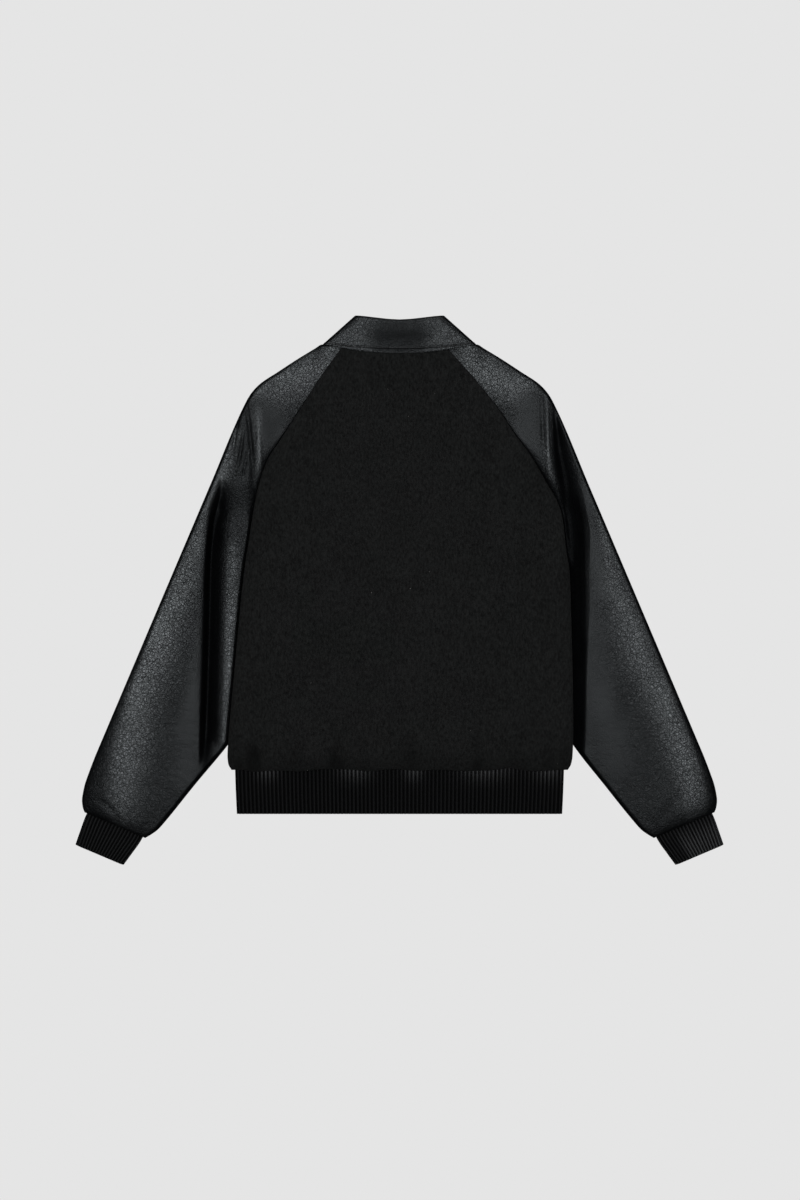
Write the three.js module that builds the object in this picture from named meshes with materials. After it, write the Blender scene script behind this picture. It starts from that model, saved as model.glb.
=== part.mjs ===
// A varsity jacket laid flat on its front: wool body, raglan leather sleeves, leather collar, ribbed hem
// and cuffs. Millimetres. +X is the wearer's right side, +Y points to the neck and +Z up from the table,
// so the back is on top. The origin is on the table, under the middle of the jacket.
import * as THREE from "three";

// Cloth thickness and the gaps between pieces
const WOOL = 2.4;
const LEATHER = 2.0;
const FALL_LEATHER = 2.6;
const STAND_LEATHER = 2.4;
const RIB_PEAK = 3.0;
const RIB_GROOVE = 0.8;
const GAP = 0.3;

// Heights above the table
const BACK_HEIGHT = 22.6;
const NECK_HEIGHT = 21.7;
const JUNCTION_HEIGHT = 9.5;
const SIDE_SEAM_RISE = 3.0;
const TUCK_HEIGHT = 7.2;
const TUCK_CLEARANCE = 1.0;
const LEAF_LIFT = FALL_LEATHER + GAP;
const SNAP_LIFT = 2.3;
const HEM_HEIGHT = 14.0;
const CUFF_HEIGHT = 16.0;

// Lengths along the body
const NECK_Y = 352;
const NECK_DROP = 82;
const FRONT_HEM_Y = -250;
const BACK_HEM_Y = -258;
const HEM_TURN = 24;
const OVERLAP = 12;
const RAGLAN_STEPS = 8;
const SIDE_STEPS = 13;
const FRONT_RAGLAN_ROUND = 18;

// Sleeves: their line leans out from the body by this angle
const SLEEVE_LEAN = THREE.MathUtils.degToRad(23);
const SLEEVE_LOWER_END = 466;
const SLEEVE_UPPER_END = 474;
const SLEEVE_TURN = 24;
const HEM_RIBS = 83;
const CUFF_RIBS = 15;
const SLEEVE_STEPS = 15;
const SNAP_RADIUS = 7.5;
const FOLD_STEPS = 6;
const LEAF_PARTS = [0.15, 0.2, 0.3, 0.5, 0.75, 1];
const SIDE_RIB_STEPS = 8;
const SNAP_ROWS_Y = [258, 163, 68, -27, -122, -217];

// Edge of the back from the neck down: the raglan seam to the underarm, then the side. x is the distance
// from the centre line.
const BODY_EDGE = {
  left: [
    { y: 352, x: 83.2 },
    { y: 309.6, x: 113.8 },
    { y: 261.7, x: 144.3 },
    { y: 216.8, x: 173.3 },
    { y: 189.2, x: 191.4 },
    { y: 157.3, x: 203.0 },
    { y: 131.2, x: 209.5 },
    { y: 95.0, x: 215.3 },
    { y: 22.5, x: 226.2 },
    { y: -39.9, x: 232.7 },
    { y: -103.7, x: 238.5 },
    { y: -166, x: 244.3 },
    { y: -219.7, x: 248.7 },
    { y: -240, x: 249.6 },
    { y: -250, x: 248.4 },
    { y: -258, x: 243.6 },
  ],
  right: [
    { y: 352, x: 67.7 },
    { y: 305.2, x: 109.5 },
    { y: 258.8, x: 145.7 },
    { y: 225.5, x: 167.5 },
    { y: 196.5, x: 189.2 },
    { y: 160.2, x: 211.0 },
    { y: 124.0, x: 231.3 },
    { y: 106.6, x: 236.4 },
    { y: 63.1, x: 241.4 },
    { y: 22.5, x: 247.2 },
    { y: -42.8, x: 249.4 },
    { y: -129.8, x: 251.6 },
    { y: -202.3, x: 252.3 },
    { y: -240, x: 251.0 },
    { y: -250, x: 249.0 },
    { y: -258, x: 244.0 },
  ],
};
const UNDERARM_Y = 128;

// How far the sleeve's inner edge lies under the side of the body
const TUCK = [
  { y: 92, inset: -1.2 },
  { y: 62, inset: 12 },
  { y: 30, inset: 27 },
  { y: -10, inset: 37 },
  { y: -50, inset: 41 },
  { y: -108, inset: 42 },
  { y: -159, inset: 34 },
  { y: -195, inset: 19 },
  { y: -226, inset: -1.5 },
];

// Shoulder line from the collar to the top of the straight sleeve edge
const SHOULDER = [
  { x: 98, y: 352.6 },
  { x: 106, y: 353.8 },
  { x: 113, y: 354.2 },
  { x: 121, y: 350.4 },
  { x: 148.6, y: 334.8 },
  { x: 176, y: 316.8 },
  { x: 202, y: 299.4 },
  { x: 215, y: 285.5 },
  { x: 224, y: 270 },
];

// Sleeve edges below the underarm: s runs down the sleeve, q across it towards the body
const SLEEVE_OUTER = [
  { s: -170, q: -312 },
  { s: 385, q: -312 },
  { s: 430, q: -310.5 },
  { s: 456, q: -306 },
  { s: 468, q: -300 },
  { s: 474, q: -294.5 },
];
const SLEEVE_INNER_END = [
  { s: 377, q: -163.6 },
  { s: 440, q: -181.5 },
  { s: 456, q: -187 },
  { s: 466, q: -193 },
  { s: 474, q: -199 },
];
const CUFF_EDGES = [
  { s: 466.3, outer: -290.5, inner: -202.5 },
  { s: 480, outer: -291.5, inner: -203.5 },
  { s: 503, outer: -290.3, inner: -208.3 },
  { s: 522.8, outer: -289.0, inner: -213.0 },
];

const HEM_RIB_ROWS = [
  { y: -250.3, half: 239.3 },
  { y: -290, half: 238 },
  { y: -324, half: 236.4 },
];

// How far the rounded edges of the sleeve leaves reach in
const UPPER_ROUNDS = {
  outer: 34,
  raglan: 32,
  inner: [
    { s: -40, round: 24 },
    { s: 0, round: 10 },
    { s: 240, round: 10 },
    { s: 330, round: 28 },
  ],
};
const LOWER_ROUNDS = {
  outer: 24,
  raglan: 18,
  inner: [
    { s: -40, round: 16 },
    { s: 0, round: 8 },
    { s: 240, round: 8 },
    { s: 330, round: 22 },
  ],
};
const SLEEVE_INNER_SEAM = [
  { s: -40, seam: 9.5 },
  { s: 0, seam: 3.6 },
  { s: 300, seam: 3.6 },
  { s: 330, seam: 7 },
  { s: 370, seam: 12 },
];

// Sleeve fullness down its length
const SLEEVE_HEIGHT = [
  { s: -265, height: 21.7, seam: 12 },
  { s: -200, height: 24.0, seam: 12 },
  { s: -120, height: 26.5, seam: 13 },
  { s: 0, height: 29.5, seam: 14 },
  { s: 150, height: 31.5, seam: 15 },
  { s: 300, height: 33.0, seam: 15 },
  { s: 420, height: 32.5, seam: 14 },
  { s: 474, height: 29.0, seam: 13.2 },
];

// Largest folds of each sleeve, as troughs (depth above 0) and ridges (depth below 0) along a line
const SLEEVE_FOLDS = {
  left: [
    { x0: 258, y0: 152, x1: 258, y1: 40, depth: 5.5, width: 11 },
    { x0: 258, y0: 40, x1: 278, y1: -160, depth: 7.5, width: 12 },
    { x0: 278, y0: -160, x1: 288, y1: -262, depth: 6.5, width: 10 },
    { x0: 224, y0: 262, x1: 210, y1: 150, depth: 2.6, width: 9 },
    { x0: 330, y0: -60, x1: 362, y1: -190, depth: 2.4, width: 14 },
    { x0: 420, y0: -292, x1: 402, y1: -318, depth: 4.0, width: 10 },
  ],
  right: [
    { x0: 214, y0: 274, x1: 216, y1: 165, depth: -2.2, width: 8 },
    { x0: 228, y0: 240, x1: 250, y1: 120, depth: 3.0, width: 9 },
    { x0: 290, y0: -60, x1: 318, y1: -240, depth: 3.2, width: 13 },
    { x0: 352, y0: -120, x1: 384, y1: -250, depth: 2.2, width: 12 },
    { x0: 398, y0: -300, x1: 380, y1: -335, depth: 3.4, width: 9 },
  ],
};

// Soft waves where the wool is gathered onto the hem rib, across the back
const HEM_WAVES = [
  { x: -217, depth: 2.2, width: 13 },
  { x: -79, depth: 1.8, width: 18 },
  { x: 15, depth: 1.0, width: 16 },
  { x: 117, depth: 2.0, width: 18 },
  { x: 218, depth: 1.8, width: 12 },
];

// Collar: the roll line and free edge of the back half, and of the front leaf under it
const COLLAR_BACK = [
  { part: 0.0, rollX: 0, rollY: 392.0, edgeX: 0, edgeY: 343.4 },
  { part: 0.3, rollX: 15, rollY: 392.8, edgeX: 31, edgeY: 344.2 },
  { part: 0.6, rollX: 31, rollY: 394.5, edgeX: 62, edgeY: 347.4 },
  { part: 0.85, rollX: 44, rollY: 396.0, edgeX: 88, edgeY: 352.0 },
  { part: 1.0, rollX: 51, rollY: 396.8, edgeX: 100.5, edgeY: 354.2 },
];
const COLLAR_FRONT = [
  { part: 0.0, rollX: 51, rollY: 396.8, edgeX: 100.5, edgeY: 354.2 },
  { part: 0.3, rollX: 45, rollY: 362, edgeX: 103, edgeY: 310 },
  { part: 0.65, rollX: 25, rollY: 327, edgeX: 82, edgeY: 268 },
  { part: 1.0, rollX: 1.5, rollY: 299, edgeX: 52, edgeY: 230 },
];
const STAND_BACK = [
  { part: 0.0, rollX: 0, rollY: 390.8, edgeX: 0, edgeY: 352.4 },
  { part: 0.3, rollX: 14.6, rollY: 391.6, edgeX: 28, edgeY: 352.4 },
  { part: 0.6, rollX: 30, rollY: 393.3, edgeX: 58, edgeY: 352.4 },
  { part: 0.85, rollX: 43, rollY: 394.8, edgeX: 82, edgeY: 352.6 },
  { part: 1.0, rollX: 50.5, rollY: 395.6, edgeX: 93, edgeY: 356 },
];
const STAND_FRONT = [
  { part: 0.0, rollX: 50.5, rollY: 395.6, edgeX: 93, edgeY: 356 },
  { part: 0.3, rollX: 45.6, rollY: 361.6, edgeX: 71, edgeY: 331 },
  { part: 1.0, rollX: 2, rollY: 298.4, edgeX: 2, edgeY: 272 },
];
// How far the folds at the sides of the collar bulge out, at the roll line and at the free edge
const FOLD_AT_ROLL = new THREE.Vector2(13.8, 1.3);
const FOLD_AT_EDGE = new THREE.Vector2(11.5, 1.8);
const COLLAR_HEIGHT = NECK_HEIGHT + GAP + FALL_LEATHER;

const WOOL_FINISH = { color: 0x141516, roughness: 0.95, metalness: 0 };
const LEATHER_FINISH = { color: 0x1b1c1e, roughness: 0.45, metalness: 0 };
const RIB_FINISH = { color: 0x0d0d0e, roughness: 0.85, metalness: 0 };
const SNAP_FINISH = { color: 0x2a2b2d, roughness: 0.35, metalness: 0.9 };

const UP = new THREE.Vector3(0, 0, 1);
const DOWN = new THREE.Vector3(0, 0, -1);
const jacket = new THREE.Group();

// Smooth step from 0 to 1.
function ease(value) {
  const k = THREE.MathUtils.clamp(value, 0, 1);
  return k * k * (3 - 2 * k);
}

// Column `to` of a table, read between its rows where column `from` has the value `at`.
function read(table, from, to, at) {
  const rising = table[table.length - 1][from] > table[0][from];
  const next = table.findIndex((row) => (rising ? row[from] >= at : row[from] <= at));
  if (next === 0) return table[0][to];
  if (next < 0) return table[table.length - 1][to];
  const [a, b] = [table[next - 1], table[next]];
  return THREE.MathUtils.lerp(a[to], b[to], (at - a[from]) / (b[from] - a[from]));
}

// Distance of the body's edge from the centre line.
function bodyEdge(side, y) {
  return read(BODY_EDGE[side], "y", "x", y);
}

// Point down and across a sleeve, in plan. `sign` is -1 on the left and 1 on the right.
function sleevePoint(sign, s, q) {
  const x = -s * Math.sin(SLEEVE_LEAN) + q * Math.cos(SLEEVE_LEAN);
  const y = -s * Math.cos(SLEEVE_LEAN) - q * Math.sin(SLEEVE_LEAN);
  return new THREE.Vector2(-sign * x, y);
}

// The same place as a distance down the sleeve and across it. x is the distance from the centre line.
function downSleeve(x, y) {
  return x * Math.sin(SLEEVE_LEAN) - y * Math.cos(SLEEVE_LEAN);
}

function acrossSleeve(x, y) {
  return -x * Math.cos(SLEEVE_LEAN) - y * Math.sin(SLEEVE_LEAN);
}

// Height that the collar leaves give the cloth that lies on them.
function neckLift(x, y) {
  return LEAF_LIFT * ease((y - 170) / 30) * ease((175 - Math.abs(x)) / 35);
}

// Height of the back raglan seam, falling to the underarm.
function backSeam(side, y) {
  const low = JUNCTION_HEIGHT + GAP / 2 + WOOL;
  return NECK_HEIGHT - (NECK_HEIGHT - low) * ease((UNDERARM_Y + 95 - y) / 95);
}

// Height of the front raglan seam, rising to the underarm.
function frontSeam(side, y) {
  const high = JUNCTION_HEIGHT - GAP / 2 - WOOL;
  return neckLift(bodyEdge(side, y), y) + high * ease((UNDERARM_Y + 70 - y) / 70);
}

// Middle height of the side seam below the underarm.
function sideSeam(side, y) {
  return JUNCTION_HEIGHT + SIDE_SEAM_RISE * ease((UNDERARM_Y - y) / 40);
}

// Height of the back's outer face in its middle, with the waves above the hem.
function backCrown(x, y) {
  const low = ease((-120 - y) / 110);
  const waves = HEM_WAVES.reduce(
    (sum, wave) => sum + wave.depth * Math.exp(-(((x - wave.x) / wave.width) ** 2)),
    0,
  );
  const blades = 1.2 * Math.exp(-(((y - 150) / 110) ** 2)) * Math.cos((x / 190) * Math.PI);
  const neck = (BACK_HEIGHT - NECK_HEIGHT) * ease((y - 300) / 45);
  return BACK_HEIGHT + blades * (1 - ease((y - 250) / 90)) + low * (1.6 - waves) - neck;
}

// Troughs and ridges of a sleeve at a place in plan. x is the distance from the centre line.
function sleeveFolds(side, x, y) {
  return SLEEVE_FOLDS[side].reduce((sum, fold) => {
    const start = new THREE.Vector3(fold.x0, fold.y0, 0);
    const line = new THREE.Line3(start, new THREE.Vector3(fold.x1, fold.y1, 0));
    const place = new THREE.Vector3(x, y, 0);
    const nearest = line.closestPointToPoint(place, true, new THREE.Vector3());
    return sum - fold.depth * Math.exp(-((place.distanceTo(nearest) / fold.width) ** 2));
  }, 0);
}

// Rounded edge, plateau, rounded edge: the places across a panel. `turn` is the angle of a rounded edge.
function stations(edgeSteps, flatSteps) {
  const list = [];
  for (let i = 0; i < edgeSteps; i++) {
    list.push({ edge: -1, turn: ((i / edgeSteps) * Math.PI) / 2, flat: 0 });
  }
  for (let i = 0; i <= flatSteps; i++) {
    list.push({ edge: 0, turn: Math.PI / 2, flat: i / flatSteps });
  }
  for (let i = edgeSteps - 1; i >= 0; i--) {
    list.push({ edge: 1, turn: ((i / edgeSteps) * Math.PI) / 2, flat: 1 });
  }
  return list;
}

// Distance from the first edge for a station on a row `width` long with rounded edges `first` and `last`.
function acrossRow(station, width, first, last) {
  if (station.edge < 0) return first * (1 - Math.cos(station.turn));
  if (station.edge > 0) return width - last * (1 - Math.cos(station.turn));
  return first + (width - first - last) * station.flat;
}

// Inner points of a wall: each outer point moved in along the face's normal, or along the given rim.
function offset(outer, thickness, facing, rim) {
  return outer.map((row, j) =>
    row.map((point, i) => {
      const given = rim(i, j);
      const right = row[Math.min(i + 1, row.length - 1)].clone().sub(row[Math.max(i - 1, 0)]);
      const down = outer[Math.min(j + 1, outer.length - 1)][i].clone().sub(outer[Math.max(j - 1, 0)][i]);
      const normal = right.cross(down).normalize();
      if (normal.z * facing < 0) normal.negate();
      const inward = given ? given(normal.clone().negate()).normalize() : normal.negate();
      return point.clone().addScaledVector(inward, thickness);
    }),
  );
}

// A closed wall between two grids of points. A closed ring joins its last column to its first.
function addWall(name, outer, inner, finish, ring = false) {
  const rows = outer.length;
  const columns = outer[0].length;
  const index = [];
  const at = (j, i, layer) => (layer * rows + j) * columns + (i % columns);
  const quad = (a, b, c, d) => index.push(a, b, c, a, c, d);
  const lastColumn = ring ? columns : columns - 1;
  for (let j = 0; j < rows - 1; j++) {
    for (let i = 0; i < lastColumn; i++) {
      quad(at(j, i, 0), at(j + 1, i, 0), at(j + 1, i + 1, 0), at(j, i + 1, 0));
      quad(at(j, i, 1), at(j, i + 1, 1), at(j + 1, i + 1, 1), at(j + 1, i, 1));
    }
    if (!ring) {
      quad(at(j, 0, 0), at(j, 0, 1), at(j + 1, 0, 1), at(j + 1, 0, 0));
      const end = columns - 1;
      quad(at(j, end, 0), at(j + 1, end, 0), at(j + 1, end, 1), at(j, end, 1));
    }
  }
  for (let i = 0; i < lastColumn; i++) {
    quad(at(0, i, 0), at(0, i + 1, 0), at(0, i + 1, 1), at(0, i, 1));
    quad(at(rows - 1, i, 0), at(rows - 1, i, 1), at(rows - 1, i + 1, 1), at(rows - 1, i + 1, 0));
  }
  const geometry = new THREE.BufferGeometry();
  geometry.setFromPoints([...outer.flat(), ...inner.flat()]);
  geometry.setIndex(facesOutward(geometry, index) ? index : index.reverse());
  addMesh(name, geometry, finish);
}

// True where the triangles enclose a positive volume.
function facesOutward(geometry, index) {
  const position = geometry.getAttribute("position");
  const corner = (i) => new THREE.Vector3().fromBufferAttribute(position, index[i]);
  let volume = 0;
  for (let i = 0; i < index.length; i += 3) {
    volume += corner(i).dot(corner(i + 1).cross(corner(i + 2)));
  }
  return volume > 0;
}

function addMesh(name, geometry, finish) {
  geometry.computeVertexNormals();
  const mesh = new THREE.Mesh(geometry, new THREE.MeshStandardMaterial(finish));
  mesh.name = name;
  jacket.add(mesh);
  return mesh;
}

// Rows from the neck to the underarm and on to where the hem turns.
function bodyRows() {
  const spread = (from, to, count) =>
    Array.from({ length: count }, (_, i) => from + ((to - from) * i) / count);
  const turn = BACK_HEM_Y + HEM_TURN;
  return [...spread(NECK_Y, UNDERARM_Y, RAGLAN_STEPS), ...spread(UNDERARM_Y, turn, SIDE_STEPS), turn];
}

// The back: straight rows from edge to edge, crowned, rounding to the side seams and in over the hem.
function addBack() {
  const across = stations(3, 17);
  const turnSteps = 4;
  const rows = bodyRows().map((y) => ({ y, turn: Math.PI / 2 }));
  for (let i = turnSteps - 1; i >= 0; i--) {
    const turn = ((i / turnSteps) * Math.PI) / 2;
    rows.push({ y: BACK_HEM_Y + HEM_TURN * (1 - Math.cos(turn)), turn });
  }
  const hemRim = HEM_HEIGHT + GAP;
  const outer = rows.map(({ y, turn }) =>
    across.map((station) => {
      const side = station.edge > 0 || station.flat > 0.5 ? "right" : "left";
      const left = -bodyEdge("left", y) + GAP / 2;
      const right = bodyEdge("right", y) - GAP / 2;
      const raglan = y > UNDERARM_Y;
      const round = raglan ? 42 : 26;
      const x = left + acrossRow(station, right - left, round, round);
      const edge = raglan ? backSeam(side, y) : sideSeam(side, y) + GAP / 2;
      const low = Math.max(hemRim, edge);
      const crown = low + (backCrown(x, y) - low) * Math.sin(turn);
      const rim = THREE.MathUtils.lerp(edge, low, Math.cos(turn));
      return new THREE.Vector3(x, y, rim + (crown - rim) * Math.sin(station.turn));
    }),
  );
  const last = across.length - 1;
  const inner = offset(outer, WOOL, 1, (i, j) => {
    const y = rows[j].y;
    if (j === 0) return () => DOWN.clone();
    if (i === 0 || i === last) {
      if (y > UNDERARM_Y) return () => DOWN.clone();
      return () => new THREE.Vector3(i === 0 ? 1 : -1, j === rows.length - 1 ? 0.6 : 0, 0);
    }
    if (j === rows.length - 1) return () => new THREE.Vector3(0, 1, 0);
    return null;
  });
  addWall("back", outer, inner, WOOL_FINISH);
}

// 1 where the sleeve's edge lies under the side of the body, 0 above and below.
function tucked(y) {
  return ease((UNDERARM_Y - 2 - y) / 22) * ease((y + 258) / 20);
}

// Height of a front's outer face over what lies under it: the sleeve's edge, the collar leaf, the snaps.
function frontHeight(side, x, y) {
  const inside = bodyEdge(side, y) - Math.abs(x);
  const beyond = inside - read(TUCK, "y", "inset", y);
  const sleeve = (TUCK_HEIGHT + TUCK_CLEARANCE) * tucked(y) * ease((40 - beyond) / 30);
  const middle = Math.max(SNAP_LIFT, neckLift(0, y));
  const centre =
    side === "left" ? middle * ease((x + 38) / 25) : (middle + WOOL + GAP) * ease((50 - x) / 34);
  return Math.max(sleeve, centre, neckLift(x, y));
}

// Share of the neckline's drop reached at a share of the way from the raglan seam to the front edge.
function necklineFall(part) {
  return 1 - (1 - part) ** 2.5;
}

// The neckline of a front where x is the distance from the centre line, read along its top row.
function neckline(side, x) {
  const width = bodyEdge(side, NECK_Y) - GAP / 2 + OVERLAP;
  const points = frontStations().map((station) => {
    const distance = acrossRow(station, width, FRONT_RAGLAN_ROUND, 0);
    return { x: width - OVERLAP - distance, y: NECK_Y - NECK_DROP * necklineFall(distance / width) };
  });
  return read(points, "x", "y", x);
}

// Places across a front, rounded at its outer edge alone.
function frontStations() {
  return stations(3, 11).filter((station) => station.edge <= 0);
}

// A front: rows from its outer edge to the centre, the top one dropping as the neckline.
function addFront(side) {
  const sign = side === "left" ? -1 : 1;
  const rows = [...bodyRows(), BACK_HEM_Y + HEM_TURN / 2, FRONT_HEM_Y].sort((a, b) => b - a);
  const across = frontStations();
  const outer = rows.map((y) => {
    const edgeX = bodyEdge(side, y) - GAP / 2;
    const raglan = y > UNDERARM_Y;
    const drop = NECK_DROP * ((y - FRONT_HEM_Y) / (NECK_Y - FRONT_HEM_Y)) ** 3;
    const round = FRONT_RAGLAN_ROUND - (raglan ? 0 : 11 * tucked(y));
    const edge = raglan ? frontSeam(side, y) : sideSeam(side, y) - GAP / 2;
    return across.map((station) => {
      const width = edgeX + OVERLAP;
      const distance = acrossRow(station, width, round, 0);
      const x = sign * (edgeX - distance);
      const place = new THREE.Vector2(x, y - drop * necklineFall(distance / width));
      const base = frontHeight(side, place.x, place.y);
      return new THREE.Vector3(place.x, place.y, edge + (base - edge) * Math.sin(station.turn));
    });
  });
  const inner = offset(outer, WOOL, -1, (i, j) => {
    if (j === 0) return () => UP.clone();
    if (i === 0) {
      if (rows[j] > UNDERARM_Y) return () => UP.clone();
      return () => new THREE.Vector3(-sign, 0, 0);
    }
    if (j === rows.length - 1) return (normal) => normal.setY(0);
    if (i === across.length - 1) return (normal) => normal.setX(0);
    return null;
  });
  addWall(`front_${side}`, outer, inner, WOOL_FINISH);
}

// Rows of a sleeve in plan, from the neck down to the cuff, with x measured from the centre line. The last
// `turnSteps` rows turn down to the cuff.
function sleeveRows(side, end, turnSteps) {
  const start = downSleeve(bodyEdge(side, UNDERARM_Y), UNDERARM_Y);
  const meets = sleevePoint(1, start, SLEEVE_OUTER[0].q);
  const shoulder = new THREE.CatmullRomCurve3(
    [...SHOULDER, meets].map((point) => new THREE.Vector3(point.x, point.y, 0)),
    false,
    "centripetal",
  );
  const rows = [];
  for (let i = 0; i < RAGLAN_STEPS; i++) {
    const innerY = NECK_Y + ((UNDERARM_Y - NECK_Y) * i) / RAGLAN_STEPS;
    const outer = shoulder.getPointAt(i / RAGLAN_STEPS);
    const inner = new THREE.Vector2(bodyEdge(side, innerY) + GAP / 2, innerY);
    rows.push({ outer: new THREE.Vector2(outer.x, outer.y), inner, raglan: true, turn: Math.PI / 2 });
  }
  const underArm = { s: start, q: acrossSleeve(bodyEdge(side, UNDERARM_Y) + GAP, UNDERARM_Y) };
  const hidden = TUCK.map(({ y, inset }) => {
    const x = bodyEdge(side, y) - inset;
    return { s: downSleeve(x, y), q: acrossSleeve(x, y) };
  });
  const innerEdge = [underArm, ...hidden, ...SLEEVE_INNER_END];
  const addRow = (s, turn) => {
    const outer = sleevePoint(1, s, read(SLEEVE_OUTER, "s", "q", s));
    const inner = sleevePoint(1, s, read(innerEdge, "s", "q", s));
    rows.push({ outer, inner, raglan: false, turn, s });
  };
  const last = turnSteps ? end - SLEEVE_TURN : end;
  for (let i = 0; i <= SLEEVE_STEPS; i++) {
    addRow(start + (SLEEVE_UPPER_END - SLEEVE_TURN - start) * (i / SLEEVE_STEPS), Math.PI / 2);
  }
  if (!turnSteps) addRow(last, Math.PI / 2);
  for (let i = turnSteps - 1; i >= 0; i--) {
    const turn = ((i / turnSteps) * Math.PI) / 2;
    addRow(end - SLEEVE_TURN * (1 - Math.cos(turn)), turn);
  }
  return rows;
}

// The grid of a sleeve leaf. `height` gives the outer face from a row, a station and a place in plan.
function sleeveGrid(side, rows, across, rounds, height) {
  const sign = side === "left" ? -1 : 1;
  return rows.map((row) => {
    const width = row.outer.distanceTo(row.inner);
    const first = Math.min(rounds.outer, 0.38 * width);
    const last = Math.min(row.raglan ? rounds.raglan : read(rounds.inner, "s", "round", row.s), 0.38 * width);
    return across.map((station) => {
      const part = acrossRow(station, width, first, last) / width;
      const place = row.outer.clone().lerp(row.inner, part);
      return new THREE.Vector3(sign * place.x, place.y, height(row, station, place));
    });
  });
}

// Rim directions of a sleeve leaf: level at its long seams, upright at the raglan seam and the neck.
function sleeveRim(side, rows, columns, upright, endRim) {
  const sign = side === "left" ? -1 : 1;
  return (i, j) => {
    const row = rows[j];
    const inward = row.inner.clone().sub(row.outer).normalize();
    if (i === 0) return () => new THREE.Vector3(sign * inward.x, inward.y, 0);
    if (j === 0) return () => upright.clone();
    if (i === columns - 1) {
      return row.raglan ? () => upright.clone() : () => new THREE.Vector3(-sign * inward.x, -inward.y, 0);
    }
    return j === rows.length - 1 ? endRim : null;
  };
}

// Height that the body's edge leaves free for the sleeve's upper leaf at a place.
function besideBody(side, place, full) {
  const outside = place.x - bodyEdge(side, place.y);
  const atUnderarm = JUNCTION_HEIGHT + GAP / 2 + WOOL;
  const margin =
    place.y > UNDERARM_Y
      ? backSeam(side, place.y)
      : TUCK_HEIGHT + (atUnderarm - TUCK_HEIGHT) * ease((place.y - UNDERARM_Y + 38) / 38);
  const rise = THREE.MathUtils.clamp((outside - 12) / 40, 0, 1);
  return margin + (full - margin) * Math.sin((rise * Math.PI) / 2);
}

// A sleeve's two leaves, joined at the overarm seam on its outline and the underarm seam inside.
function addSleeve(side) {
  const sign = side === "left" ? -1 : 1;
  const down = new THREE.Vector3(sign * Math.sin(SLEEVE_LEAN), -Math.cos(SLEEVE_LEAN), 0);
  const innerSeam = (row) => read(SLEEVE_INNER_SEAM, "s", "seam", row.s);

  const upperRows = sleeveRows(side, SLEEVE_UPPER_END, 3);
  const upperAcross = stations(3, 8);
  const upper = sleeveGrid(side, upperRows, upperAcross, UPPER_ROUNDS, (row, station, place) => {
    const s = downSleeve(place.x, place.y);
    const seam = read(SLEEVE_HEIGHT, "s", "seam", s) + GAP / 2;
    const full = read(SLEEVE_HEIGHT, "s", "height", s);
    const inside = station.edge > 0;
    const inner = row.raglan ? backSeam(side, row.inner.y) : innerSeam(row) + GAP / 2;
    const edge = inside ? inner : seam;
    const free = row.raglan ? full : Math.min(full, besideBody(side, place, full));
    const clear = row.raglan ? 1 : ease((place.x - bodyEdge(side, place.y) - 10) / 12);
    const face = free + sleeveFolds(side, place.x, place.y) * clear;
    const low = CUFF_HEIGHT + GAP;
    const turned = low + (face - low) * Math.sin(row.turn);
    const rim = THREE.MathUtils.lerp(edge, low, Math.cos(row.turn));
    return rim + (turned - rim) * Math.sin(station.turn);
  });
  const upperRim = sleeveRim(side, upperRows, upperAcross.length, DOWN, () => down.clone().negate());
  addWall(`sleeve_${side}_back`, upper, offset(upper, LEATHER, 1, upperRim), LEATHER_FINISH);

  const lowerRows = sleeveRows(side, SLEEVE_LOWER_END, 0);
  const lowerAcross = stations(2, 5);
  const lower = sleeveGrid(side, lowerRows, lowerAcross, LOWER_ROUNDS, (row, station, place) => {
    const seam = read(SLEEVE_HEIGHT, "s", "seam", downSleeve(place.x, place.y)) - GAP / 2;
    const inner = row.raglan ? frontSeam(side, row.inner.y) : innerSeam(row) - GAP / 2;
    const edge = station.edge > 0 ? inner : seam;
    const base = neckLift(place.x, place.y);
    return edge + (base - edge) * Math.sin(station.turn);
  });
  const lowerRim = sleeveRim(side, lowerRows, lowerAcross.length, UP, (normal) =>
    normal.addScaledVector(down, -normal.dot(down)),
  );
  addWall(`sleeve_${side}_front`, lower, offset(lower, LEATHER, -1, lowerRim), LEATHER_FINISH);
}

// Half of the collar's length: from the centre back, round the fold at its side, to the front end.
function collarStations() {
  const list = [0, 0.25, 0.5, 0.75, 0.9].map((part) => ({ zone: "back", part, turn: 0 }));
  for (let i = 0; i <= FOLD_STEPS; i++) {
    list.push({ zone: "fold", part: 1, turn: (i / FOLD_STEPS) * Math.PI });
  }
  LEAF_PARTS.forEach((part) => list.push({ zone: "front", part, turn: Math.PI }));
  return list;
}

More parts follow.
